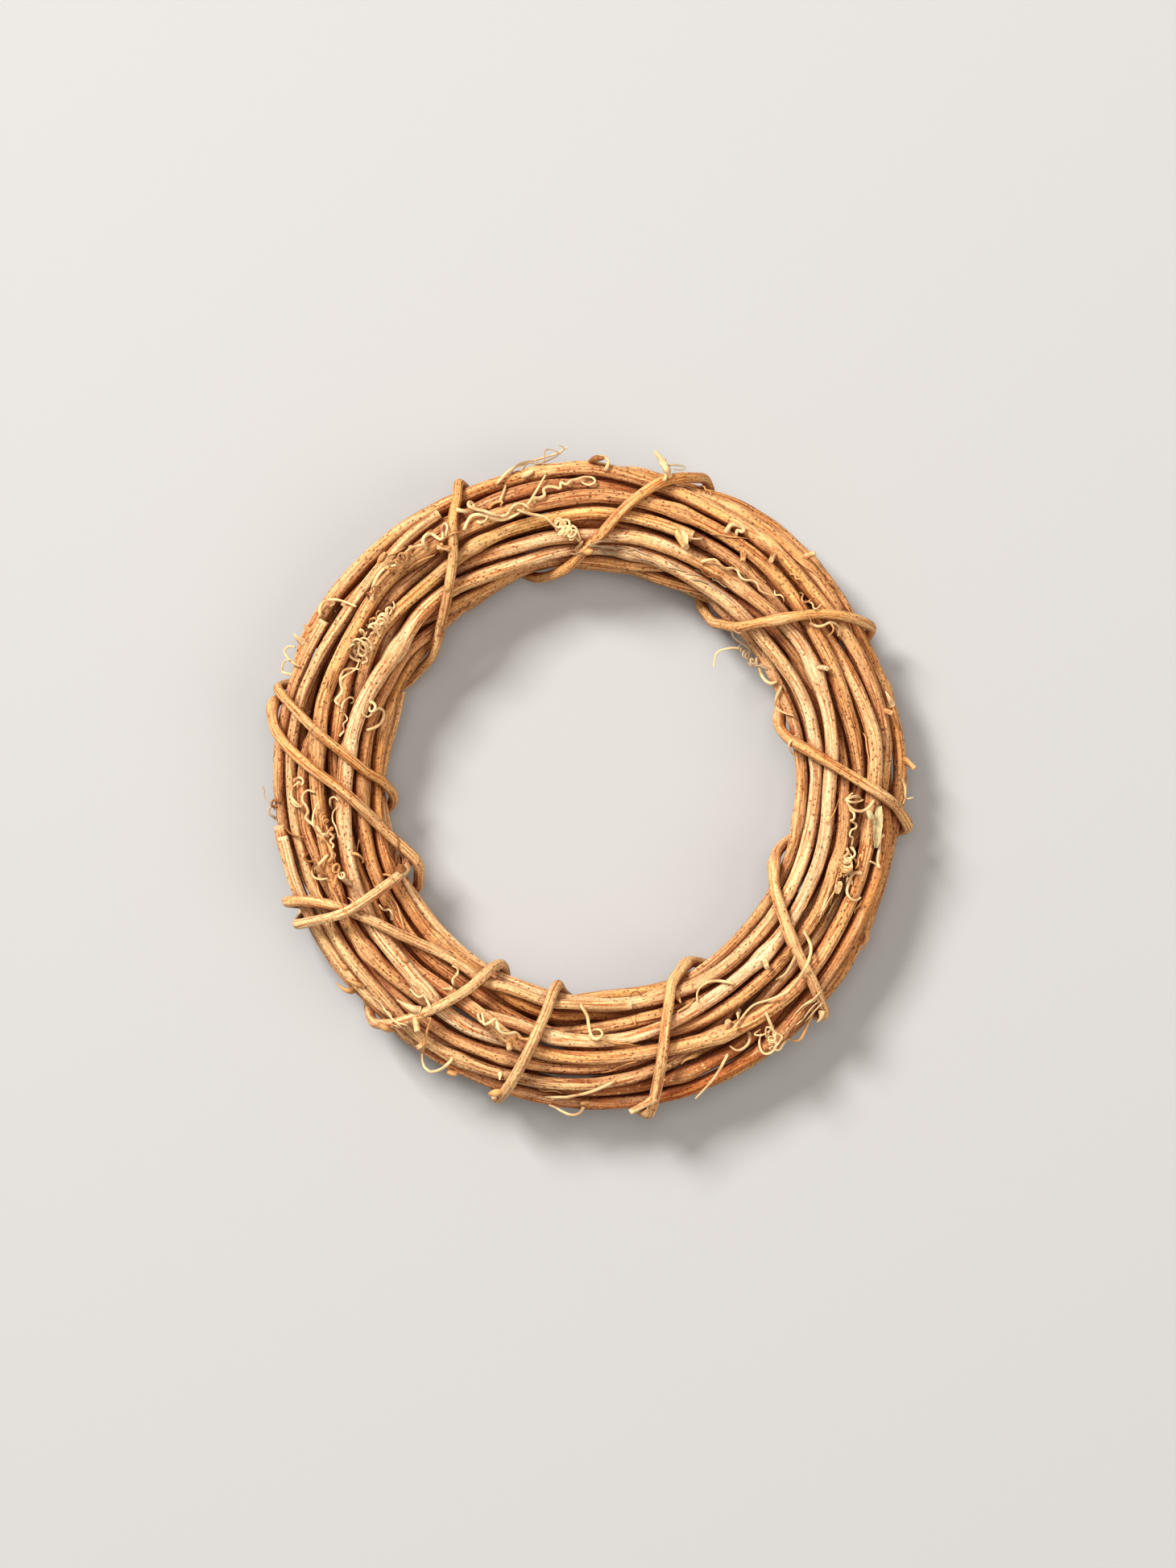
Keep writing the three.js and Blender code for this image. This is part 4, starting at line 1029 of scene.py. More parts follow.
@dataclass
class WoundVines:
    """The canes and the binding vines, with the cut stubs and tendrils that grow on them."""

    sweeper: StemSweeper
    barks: dict[Slot, bpy.types.Material]
    tendril: bpy.types.Material
    tones: dict[str, tuple[str, ...]] = field(default_factory=lambda: {
        "cane_rim_top": ("#e9bc7c", "#e0ac6c"),
        "cane_rim_right": ("#e4b070", "#d19a5c"),
        "cane_shoulder_right": ("#eebf7e", "#e3af70"),
        # The fourth, browner stop of this cane paints the shade that lies on it where it passes the
        # top of the ring
        "cane_rim_lower": ("#e8b67c", "#cf8244", "#dca566", "#b87c4a", "#cf9458"),
        "cane_rust_lower": ("#cc8e58", "#bc6630", "#c98a55", "#cf9a64", "#c89058"),
        "cane_straw_left": ("#eec389", "#f1cf99"),
        "cane_short_left": ("#f4d39f", "#ebbb7c"),
        "cane_crown_left": ("#eab982", "#deab72"),
        "cane_long_crown": ("#eec184", "#d09558"),
        "cane_crown_right": ("#eec286", "#e2ad6c"),
        "cane_inner_crown": ("#e8b880", "#ebbd84", "#f8dab0", "#f2c992", "#f2c992"),
        "cane_under_right": ("#e6b67a", "#dcaa70"),
        "cane_thick_pale": ("#f6d8ac", "#eec58f", "#f4d2a0", "#f2cc99", "#f2cc99"),
        "cane_top_shelf": ("#f4cb83", "#e6b06a"),
        "cane_top_under": ("#dca45f", "#c98e4e"),
        "cane_inner_right": ("#f0c992", "#e8bb80"),
        "cane_inner_left": ("#dca562", "#d09754"),
        "cane_mid_left": ("#dca76c", "#da9f60"),
        "cane_rim_left": ("#eabc86", "#e0b07c"),
        "binder_left": ("#dba869", "#f0cc96"),
        "binder_top": ("#e6b470", "#e6b472"),
        "binder_right": ("#e6b474", "#f8dba8"),
    })
    tendril_tone: str = "#f0cf9c"
    tendril_light: tuple[float, float] = (0.82, 1.08)
    tendril_taper: float = 0.35
    # A cane swells to a knob at each node, with a slight waist beyond it
    knob_swell: float = 1.06
    knob_rise: float = 0.17
    knob_pale: float = 0.22
    knob_length: float = 2.6 * MM
    knob_reach: float = 12 * MM
    waist: float = 0.05
    waist_place: float = 2.2
    # Cut ends are pale and a little rounded, and stubs flare out of their cane
    cut_pale: float = 0.9
    stub_pale: float = 0.6
    cut_depth: float = 0.9 * MM
    cut_fade: float = 1.6
    rim: float = 0.1
    rim_length: float = 0.5 * MM
    stub_body: float = 0.78
    flare: float = 0.5
    flare_length: float = 1.6 * MM
    # The tone drifts along each stem
    drift: float = 0.09
    drift_length: float = 28 * MM
    drift_margin: float = 60 * MM

    def build(self, node: str, slot: Slot, courses: list[Course]) -> bpy.types.Object:
        """Sweep one node's stems and join them.

        Args:
            node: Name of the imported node.
            slot: Its material slot.
            courses: Its courses, the main stem first.

        Returns:
            The piece.
        """
        binder = node.startswith("binder")
        seed = np.random.default_rng(sum(map(ord, node)))
        groups: dict[Stem, list[Dressed]] = {}
        for course in courses:
            style = self.sweeper.style_of(course.stem, binder)
            eased = course.eased(style.spacing, style.blur)
            eased.radii = eased.radii * style.fullness
            groups.setdefault(course.stem, []).append(self._dressed(node, eased, seed))
        parts = []
        for stem, dressed in groups.items():
            style = self.sweeper.style_of(stem, binder)
            skin = self.tendril if stem is Stem.TENDRIL else self.barks[slot]
            parts.append(self.sweeper.sweep(f"{node}_{stem.name.lower()}", dressed, style, skin))
        return joined(f"{node}_vine", parts)

    def _dressed(self, node: str, course: Course, seed: np.random.Generator) -> Dressed:
        """Give a course its node knobs, tones and pale ends.

        Args:
            node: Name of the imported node.
            course: An eased course.
            seed: The node's random numbers.

        Returns:
            The course, the linear tone and the paleness of each point.
        """
        run = travelled(course.points)
        share = run / run[-1]
        pale = np.zeros(len(run))
        if course.stem is Stem.TENDRIL:
            tone = np.tile(linear(self.tendril_tone), (len(run), 1))
            tone[:, :3] *= seed.uniform(*self.tendril_light)
            course.radii = course.radii * (1.0 - self.tendril_taper * share**2)
            return course, tone, pale
        stops = np.array([linear(stop) for stop in self.tones[node]])
        tone = between(share, np.linspace(0.0, 1.0, len(stops)), stops)
        marks = np.arange(0.0, run[-1] + self.drift_margin, self.drift_length)
        drift = np.interp(run, marks, seed.normal(1.0, self.drift, len(marks)))
        tone[:, :3] = np.clip(tone[:, :3] * drift[:, None], 0.0, 1.0)
        ends, bright = [run, run[-1] - run], self.cut_pale
        if course.stem is Stem.STUB:
            ends, bright = ends[1:], self.stub_pale
            flare = self.flare * np.exp(-run / self.flare_length)
            course.radii = course.radii * (self.stub_body + flare)
        for gap in ends:
            near = np.clip(self.cut_fade - gap / self.cut_depth, 0.0, 1.0)
            pale = np.maximum(pale, bright * near)
            course.radii = course.radii * (1 - self.rim * np.exp(-gap / self.rim_length))
        if course.stem is Stem.CANE:
            for spot in self._knobs(course, run):
                past = run - run[spot]
                bell = np.exp(-0.5 * (past / self.knob_length) ** 2)
                beyond = past - self.waist_place * self.knob_length
                waist = np.exp(-0.5 * (beyond / self.knob_length) ** 2)
                course.radii = course.radii * (1 + self.knob_rise * bell - self.waist * waist)
                pale = np.maximum(pale, self.knob_pale * bell)
        return course, tone, pale

    def _knobs(self, course: Course, run: np.ndarray) -> list[int]:
        """Find the nodes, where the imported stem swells.

        Args:
            course: An eased course.
            run: Length at each of its points.

        Returns:
            Numbers of the points in the middle of the nodes.
        """
        usual = course.usual
        found = []
        for i in range(2, len(run) - 2):
            most = course.radii[np.abs(run - run[i]) < self.knob_reach].max()
            if course.radii[i] > self.knob_swell * usual and course.radii[i] >= most:
                found.append(i)
        return found


class Tone(Enum):
    """Colours of the small growth."""

    CREAM = "#f2d3a2"
    STRAW = "#d9a56b"
    BROWN = "#8d5931"
    ASH = "#b8a488"
    HUSK = "#c9bd94"


class Form(Enum):
    """Shapes of the small growth along its length."""

    TENDRIL = 0
    KNOB = 1
    THORN = 2
    STRIP = 3


@dataclass(frozen=True)
class Shoot:
    """One small growth, from its root to its tip.

    The way is a run of places on the ring, each the degrees clockwise from the top and the
    millimetres from the middle. Size is the thickness, lift the clearance over the vines, and
    reach the radius of its coils, all in millimetres.
    """

    way: str
    size: float
    lift: float
    coils: float = 0.0
    reach: float = 0.0
    tone: Tone = Tone.CREAM
    form: Form = Form.TENDRIL

    @classmethod
    def read(cls, row: str) -> "Shoot":
        """Read a row of the growth table.

        Args:
            row: Tone and form by name where they are not the usual ones, then size, lift, coils
                and reach, a colon, and the way.

        Returns:
            The shoot.
        """
        head, way = row.split(":")
        words = head.split()
        named = {}
        for key, kind in (("tone", Tone), ("form", Form)):
            if words[0] in kind.__members__:
                named[key] = kind[words.pop(0)]
        return cls(way, *map(float, words), **named)

    def corners(self) -> np.ndarray:
        """Places of the way in metres, seen from the front."""
        return np.array([on_ring(*map(float, place.split())) for place in self.way.split(",")])


@dataclass(frozen=True)
class Fray:
    """A stretch of the ring where old bark lifts off in thin strips.

    It runs between two angles in degrees and between two radii in millimetres. Lengths, sizes
    and lifts are ranges in millimetres, slant is a share of the length, wander is millimetres,
    and turned is the share of strips that are rooted at their other end.
    """

    start: float
    end: float
    inner: float
    outer: float
    strips: int
    tone: Tone
    lengths: tuple[float, float] = (4.0, 11.0)
    sizes: tuple[float, float] = (0.32, 0.6)
    lifts: tuple[float, float] = (0.0, 0.8)
    slant: float = 0.16
    wander: float = 0.22
    turned: float = 0.4

    def shoots(self, seed: np.random.Generator) -> list[Shoot]:
        """Draw the strips.

        Args:
            seed: Random numbers.

        Returns:
            One shoot for each strip.
        """
        drawn = []
        for _ in range(self.strips):
            angle, radius = seed.uniform(self.start, self.end), seed.uniform(self.inner, self.outer)
            length, slant = seed.uniform(*self.lengths), seed.normal(0.0, self.slant)
            way = []
            for k in range(5):
                turn = math.degrees(length * k / 4 / radius)
                off = length * k / 4 * slant + seed.normal(0.0, self.wander)
                way.append(f"{angle + turn:.2f} {radius + off:.2f}")
            if seed.random() < self.turned:
                way.reverse()
            lift, size = seed.uniform(*self.lifts), seed.uniform(*self.sizes)
            drawn.append(Shoot(",".join(way), size, lift, tone=self.tone, form=Form.STRIP))
        return drawn


# Small growth seen from the front. A row ends in a semicolon and reads as in Shoot.read: tone,
# form, size, lift, coils and reach, then the way in degrees clockwise and millimetres out.
GROWTH: dict[str, str] = {
    "curly_tendrils_top": """
    1.7 0.8: 14 99.2, 13.4 100.6, 12.8 101.6, 13 102.4, 12.2 103.2, 11.8 104.2, 11.2 105, 10.9 106;
    1.1 1.6: 13.8 99.6, 13.8 101.2, 12.6 101.8, 12 102.6, 12.8 103.6, 12 104.6;
    ASH 0.6 0.5: 13.2 101.8, 14 102.8, 14.8 103, 15.6 103.2, 16.3 103.2, 16.2 102.2, 15.5 101.8,
        14.5 101.5;
    STRAW 0.6 0.8: 19.8 99.5, 20.6 100, 21 99, 21.8 99.2, 22.2 98.2;
    0.8 1.4: 24 86.2, 24 84.5, 22.5 83.2, 21 82.8;
    BROWN 0.6 0.8: 26.6 76, 27.4 75, 28.6 74.6, 30 75, 30.6 76, 32 76.2, 32.4 74.8;
    0.6 1.2: 43 83.2, 43.8 82.5, 44.4 83.5, 45.4 83.5, 46 82.8;
    STRAW 0.7 1.2: 43 90.5, 43.8 91.2, 44.4 90.4, 45.2 91.8;
    1.5 1.4: 27.8 89.5, 28 92, 29 92.8, 30.5 93, 30.6 91.8, 29.5 91.5, 29.8 90.2;
    STRAW 0.6 1.4: 47 88.8, 47.6 89, 48 87.5, 48.6 87, 49.2 87.5, 49.4 89.5;
    0.6 1.4: 49 88.5, 50.2 88.8, 51.2 88, 51.6 89, 51.4 90.8;
    STRAW 0.6 1.2: 55.4 89.5, 56.6 89.5, 57.2 88.5, 57.4 86.8
    """,
    "curly_tendrils_right": """
    ASH 0.8 0.8: 56 66, 54 64.5, 52.6 62.5, 51 62.8, 49.8 64.2, 48.8 65.2, 47 64.8, 45 64.2,
        43.6 64, 42.6 64.5, 41.6 65.5, 43.6 65.8, 44 66.5;
    ASH 0.7 1 5 1.1: 54.5 65.5, 52 64, 49 63.5, 46 63.8;
    0.8 0.6: 76 65.5, 77.4 62.8, 79.5 62.8, 81 63.8, 81.4 64.8;
    0.8 0.5: 88.5 96.8, 90 97.6, 92 97.9, 91.8 100.2;
    0.6 0.5: 91.6 97.8, 92.4 97.5, 93 97;
    1 2: 92.6 84, 91.9 82.5, 92.2 80, 92.8 78.5, 93.2 80.5, 93 82.5, 92.6 84;
    0.8 1.8: 94.7 80.2, 95.7 81.5, 97 81.5, 97.2 80.5, 98 82.8, 98.9 82.5, 99.1 81.5, 100.7 81.2,
        100.7 82.2, 102.4 82.5;
    0.7 1.4 7 1.6: 102.4 82.5, 105 82.2, 108 82.8, 111 83.5;
    0.7 2 5 1.3: 103.4 81.2, 106 82.5, 109 84.2, 110.6 85.2;
    STRAW 0.6 1.6 4 1.5: 104.4 84.5, 107 82.5, 110 82;
    1 2: 107.6 87.5, 108 85.5, 110.3 85, 112.4 85.5, 113.2 87.5, 113 89.2, 112.2 90;
    1 1.6: 99.2 91.8, 99.7 91, 102 91.2, 104.5 91.6, 105.6 92.8, 105 91, 104.8 89.2;
    STRAW 0.7 1.4: 104 86, 105 85.5, 106 86, 107 85.5
    """,
    "curly_tendrils_bottom": """
    STRAW 1.2 1: 134.5 97, 136 98.5, 138.5 100.5, 140.3 101.8, 141.2 101.2, 141.5 100.2;
    0.7 1.6: 142 99.5, 143 99.2, 144.5 99.8, 145 98.5, 143.5 97.8, 142.5 97, 143 95, 143.3 92.5,
        143.8 91.8, 145 94.5, 144 93.5, 145.5 93, 146.6 91.5, 145 91.4;
    0.6 2 5 1.2: 142.6 93, 144.2 95.5, 145.4 97.5;
    1 1.6: 147.3 90.5, 148 92.5, 149.5 93.5, 151 93, 151.8 90.8;
    1 1.2: 129.5 81.8, 131.5 82.5, 134 83.2, 136 82.5;
    STRAW 0.9 0.4: 154 73.2, 156.5 73.8, 159 74.2;
    BROWN 0.5 0.2: 166.4 66.5, 167 65, 168.4 64.8, 169.6 66;
    1 1.4: 180.3 76.6, 179.2 77.6, 177.8 77, 177.4 75.8, 178.2 74.6, 179.4 74.8;
    1 0.4: 181.4 99.2, 182 101.2, 183.4 102, 185 101.2, 186.5 100, 187.6 99.5;
    0.9 0.6: 183 96, 186 96.5, 188.5 97.2;
    STRAW 0.8 1: 193.8 79.8, 196 80.2, 197 79.2;
    1.1 1.6: 195.6 80.4, 197.2 79, 198.6 79.9, 200.4 80.1, 201.5 78.6, 202.5 76.9, 203.4 78.6,
        204.3 79.9, 205 78.6, 205.8 77.2;
    STRAW 0.9 1.4: 212.6 97, 213 95, 213.5 92.5, 214 90.5, 214.4 88, 215 86.2, 214.6 87.5,
        215.2 86.8
    """,
    "curly_tendrils_left": """
    0.9 1.4: 216 84, 217.5 82.8, 219 82.2, 219.2 83.5, 220.5 83.8, 222 83.5;
    0.7 1: 219.6 81.5, 221 81.4, 223 81.8;
    STRAW 0.7 1: 207.6 84, 209 83.5, 210.3 82.5;
    0.9 1.2: 213.6 74.2, 215 74, 215.8 73, 215.7 70.8, 216.5 69.5, 218 69.8;
    0.9 1.2: 236.5 73.8, 238 72.8, 239 73, 239.4 74.5, 241 75;
    STRAW 0.6 0.8: 233 72.5, 236 71.2, 239 70.2, 242 70.8;
    BROWN 0.5 0.8: 260.2 90, 260.6 92.5, 261.4 94.5, 262.8 95.8, 265 96, 268 95.6;
    ASH 0.8 0.6: 264.2 98.5, 264.8 99.5, 265.2 100.5, 265.9 100.9, 266.5 100.2, 266.6 99.1,
        265.8 99;
    BROWN 0.8 0.8: 266.6 99.5, 267.6 99.2, 267.8 98, 267.3 97, 268 96.2, 269.4 96.5, 271.5 95.9;
    ASH 0.4 0.2: 266.4 99, 267.5 100.5, 268 101.5, 268.8 102, 269.6 101.6, 270 102.5, 270.4 102;
    0.9 1.6: 271.3 92, 271.9 90.8, 271.8 89.5, 271 89, 270.5 89.6;
    0.8 1.4: 259.2 81.5, 259.6 83.2, 260.3 84, 260 82.8, 260.8 82;
    0.7 1.8: 260.8 85.8, 262.6 86.5, 264.8 86, 266 85.2, 266.9 84.6, 267.1 84;
    STRAW 1 1.6: 254.3 84.4, 254.9 82.8, 256.6 82.5, 259.1 84, 260.3 85.6, 261.6 86;
    STRAW 1 1.4: 249.5 84.5, 251.2 82.8, 252.6 81.5, 253.3 81.9, 253 83, 252 83.8, 251.6 82.8;
    0.6 1.2: 258.9 79.5, 261.2 79.8, 262.8 80.6, 264.5 80.2, 265.7 78.6;
    0.8 1.4: 264.6 80.5, 266.4 80.9, 267.6 80.6, 267.9 79.2, 267 78.2;
    STRAW 0.6 1.4 4 1: 259 80.5, 261.5 82, 264.6 83.5;
    STRAW 0.9 1.4: 254.6 76.8, 254.2 75.2, 252.6 74, 251.8 74.4;
    0.8 1.6: 260.2 82.2, 259.2 81, 258.4 82.3, 257.4 81.4, 256.4 82.7, 255.4 81.6, 254.6 82.5;
    0.8 1.6: 252 81.6, 251 82.4, 250 81.8, 250.2 80.6, 251.2 80.7, 251 81.5;
    BROWN 0.8 1.2: 256.8 90.4, 256.2 91.4, 255.4 90.6, 255.2 88.8, 254.6 88, 254 89.2, 253.2 89.6,
        252.6 88, 251.8 85.6;
    STRAW 0.7 0.8: 247.2 69.8, 246.6 68, 245.4 67.5;
    0.9 2: 291.2 73.5, 291.2 72, 290.4 71, 289.2 71.4, 289 72.2, 290 72.8;
    0.7 1.6: 292.4 83.5, 293.5 84, 294.6 83.2, 295.8 82.1, 297 81.4, 299 82;
    0.8 1.4: 287 80.8, 289 81, 290.4 80, 290.6 78.8, 289.8 78.1, 289.3 79;
    0.6 1.2: 281.6 79.5, 283 78.5, 284.4 79.2, 285.6 78.2, 286.6 79.5
    """,
    "curly_tendrils_crown": """
    0.9 1.6 4 3.1: 298.8 82.4, 301.4 83.8, 303.8 84.6;
    0.8 2.4 4 2.6: 299.6 85.2, 301.8 82.8, 303.6 81.5;
    0.7 1.4: 298.6 80.5, 299.6 79.5, 300.6 81, 302 80.2, 303 81.2, 304 80;
    0.8 2: 303.2 84.2, 304.4 86.5, 304.4 85, 303.4 84, 304.8 84.5;
    0.8 1.8 6 1.5: 304.4 82.4, 307 82.8, 310 82.6, 312.6 84;
    STRAW 0.7 1.6 4 1.3: 303.8 85, 306.4 84.6, 309.6 84.4;
    0.8 1.6: 305.6 80.5, 306.6 82.5, 308.4 81.9, 310.8 83, 311.5 84, 311.8 82.5, 310.6 82;
    0.8 0.6: 290.6 100.5, 290.6 102.8, 291.6 103.1, 292.6 102.8, 293 101.5;
    0.6 1.2: 304.6 97, 304.9 98.5, 305.6 97.8, 306 98.8, 306.4 97.8;
    BROWN 0.7 1.4: 310.4 90, 311 91.5, 311.6 90, 312.5 91.5, 313.4 90.2;
    STRAW 0.7 1.4: 316.8 92.8, 317.6 91.5, 318.6 90.2, 319.2 91.8, 318.4 92.8;
    BROWN 0.7 1.6: 318.8 90.5, 319.8 92.8, 320.8 90.5, 321.4 92.5, 322.2 90.5;
    STRAW 0.7 1.4 4 1.4: 317 91, 320 91.5, 323.4 91;
    1.1 1.6: 325.3 89.8, 325.8 92.2, 326.8 93, 327.8 92.5, 328.7 89.4, 329.3 89.5, 330 91.8,
        331 93.1, 331.2 92, 330 89.5;
    1.2 2: 334.2 95.2, 335.4 93.8, 336.8 93.2, 337.4 94.8, 336.9 96, 336.5 95, 337.6 92.8, 339 91.1,
        340 89.5, 341.4 88.2, 342.8 88, 343.8 89.2, 345 90.2, 346.4 89.9, 347.4 88.2;
    0.8 1.2: 336.8 89.2, 337.4 88.4, 338.8 88.8, 339 89.8;
    STRAW 0.9 1.4: 340 92.2, 341.2 93, 342.8 92.5, 342.2 91.5;
    0.9 1.6: 342.6 93.5, 343.4 95.2, 344.2 97.2;
    1 1.8: 348.7 90, 348.7 91.2, 349.7 90.8, 351 91.5, 350.8 93.1, 351.6 94, 353 93.6, 354.1 93,
        354.3 95, 355.3 94, 356.2 95.2, 357.4 95.6, 358.7 96.2, 360.3 96, 360.8 94.8, 359.5 93.6,
        358.2 94.6;
    ASH 0.5 0.4: 345.3 100, 347 102.8, 348.7 103.5, 350.3 103, 351.2 101.8, 352.4 101.5;
    ASH 0.6 0.4: 347.4 100.5, 349 102.8, 350.8 101.9, 352.8 102.8, 354.5 104.4, 355.5 106.2,
        354.6 107;
    ASH 0.5 0.4: 351.4 101, 352 103.8, 352.2 106, 353.2 106.1, 354.3 105.2, 355 104.4;
    0.8 1.8 4 2: 352.4 82.5, 353.9 81.8, 355 80, 356 78.2;
    0.7 1.2 3 1.7: 352.8 81, 354.6 79.5, 356 77.5;
    0.8 1: 357.6 75.8, 357.2 78, 356.6 80.5, 355.4 81.8;
    BROWN 0.7 0.4: 314.3 68.5, 315.2 66.5, 316.6 66.8, 317 68;
    BROWN 0.6 0.4: 323.6 69, 325.4 67.8, 327 68.8
    """,
    "buds_and_thorns": """
    BROWN KNOB 2.2 1.4: -0.4 101, 0.8 101.9, 2.2 102.1;
    THORN 1.9 0.4: 74.6 97, 73.2 96.6, 71.8 96.2;
    STRAW KNOB 1.8 0.3: 117.6 97.6, 119.8 97.8;
    THORN 2 0.8: 134 99.5, 135 100.8, 136 101;
    STRAW THORN 1.8 1: 158 89, 161 89.2, 162 90;
    THORN 1.6 1: 146.6 83, 147.6 84.5;
    STRAW THORN 1.6 1: 157.6 70, 157.4 72.2;
    STRAW THORN 1.6 1.2: 130.4 75, 131.6 75.8;
    STRAW THORN 1.6 1: 169.6 72.5, 169.4 74.8;
    STRAW KNOB 1.8 0.4: 180.2 97.8, 182 98.2;
    STRAW KNOB 2.4 0.8: 196.4 98, 198.4 100;
    THORN 1.6 1: 197.6 92.8, 197.4 94.8;
    STRAW KNOB 2.2 0.6: 205.4 98.5, 206.8 99;
    STRAW KNOB 2.4 0.8: 219 97.2, 222 98.2;
    THORN 1.8 0.8: 221.2 86.2, 221.8 84.2;
    STRAW THORN 1.8 0.4: 229.6 97.5, 231 99.2, 232.4 99.8;
    STRAW THORN 1.6 0.8: 228.8 93.8, 230.4 95, 232 96.5;
    STRAW THORN 1.4 0.8: 230.2 94.8, 229.4 96.2;
    STRAW KNOB 1.9 0.4: 233 94.2, 234.8 94.8;
    STRAW KNOB 1.8 0.8: 226.4 78, 227.6 78.5;
    THORN 1.4 1.2: 214.8 75.8, 216.6 77.2;
    THORN 2.4 1.6: 217.6 86.8, 220 87.9, 222.4 88.8;
    THORN 2.2 0.4: 296.8 100.5, 297 102.5, 297.4 104.2;
    STRAW THORN 1.8 0.4: 299.2 100.5, 299.6 102.8;
    STRAW KNOB 2 0.3: 316.4 95.8, 318.8 96.8;
    STRAW KNOB 2 0.4: 327.4 86, 328.4 88;
    STRAW KNOB 2 0.3: 323.4 75, 325.2 76.5;
    KNOB 2.4 0.4: 347.4 98.7, 349.6 100;
    THORN 1.8 1: 356.8 74, 358 76;
    STRAW KNOB 2.2 0.6: 358.2 72.5, 360.4 73;
    STRAW THORN 1.2 0.8: 50.6 98.5, 48.8 97.2;
    STRAW THORN 1.8 0.6: 117.6 96.5, 119 98;
    BROWN THORN 1.2 0.4: 246.8 65.5, 248.6 63.8
    """,
}


@dataclass
class Ground:
    """Height of the dressed vines' upper skin, which the small growth lies on."""

    walls: BVHTree
    ceiling: float = 80 * MM
    ring_radius: float = 84 * MM
    search: float = 0.4 * MM
    most_steps: int = 60

    @classmethod
    def of(cls, pieces: list[bpy.types.Object]) -> "Ground":
        """Take the skin of some pieces.

        Args:
            pieces: Objects with their place in their meshes.

        Returns:
            The ground.
        """
        corners, faces = [], []
        for piece in pieces:
            base = len(corners)
            corners.extend(corners_of(piece.data).tolist())
            faces.extend([base + i for i in face.vertices] for face in piece.data.polygons)
        return cls(BVHTree.FromPolygons(corners, faces))

    def top(self, place: np.ndarray) -> float:
        """Height of the skin below a place.

        Args:
            place: The place seen from the front.

        Returns:
            The height, or NaN beside the ring.
        """
        start = Vector((float(place[0]), float(place[1]), self.ceiling))
        hit = self.walls.ray_cast(start, Vector((0.0, 0.0, -1.0)))[0]
        return float("nan") if hit is None else float(hit.z)

    def highest(self, place: np.ndarray, radius: float) -> float:
        """Height of the highest skin near a place.

        Args:
            place: The place seen from the front.
            radius: How far round it to look.

        Returns:
            The height, or NaN beside the ring.
        """
        steps = ((0, 0), (1, 0), (-1, 0), (0, 1), (0, -1))
        tops = [self.top(place + radius * np.array(step)) for step in steps]
        known = [top for top in tops if not math.isnan(top)]
        return max(known) if known else float("nan")

    def under(
        self, flat: np.ndarray, radius: float, slope: float
    ) -> tuple[np.ndarray, np.ndarray, np.ndarray]:
        """Follow the skin under a way.

        Args:
            flat: Places of the way.
            radius: Half the width of what lies on the skin.
            slope: Steepest rise and fall of what lies on it.

        Returns:
            For each place the length so far, the skin's height, and the height to lie at.
        """
        tops = np.array([self.highest(place, radius) for place in flat])
        known = ~np.isnan(tops)
        if not known.any():
            raise ValueError(f"a way lies beside the ring: {flat[0]}")
        run = travelled(flat)
        tops = np.interp(run, run[known], tops[known])
        steep = tops[None, :] - slope * np.abs(run[:, None] - run[None, :])
        return run, tops, steep.max(axis=1)

    def rooted(self, flat: np.ndarray) -> np.ndarray:
        """Start a way on the ring.

        Args:
            flat: Places of the way.

        Returns:
            The way, with a place on the vines before it if it starts beside them.
        """
        start = flat[0]
        if not math.isnan(self.top(start)):
            return flat
        radius = float(np.linalg.norm(start - RING_MIDDLE[:2]))
        out = (start - RING_MIDDLE[:2]) / radius
        way = math.copysign(self.search, self.ring_radius - radius)
        for step in range(1, self.most_steps):
            near = start + out * way * step
            if not math.isnan(self.top(near)):
                return np.vstack([near + out * way, flat])
        return flat


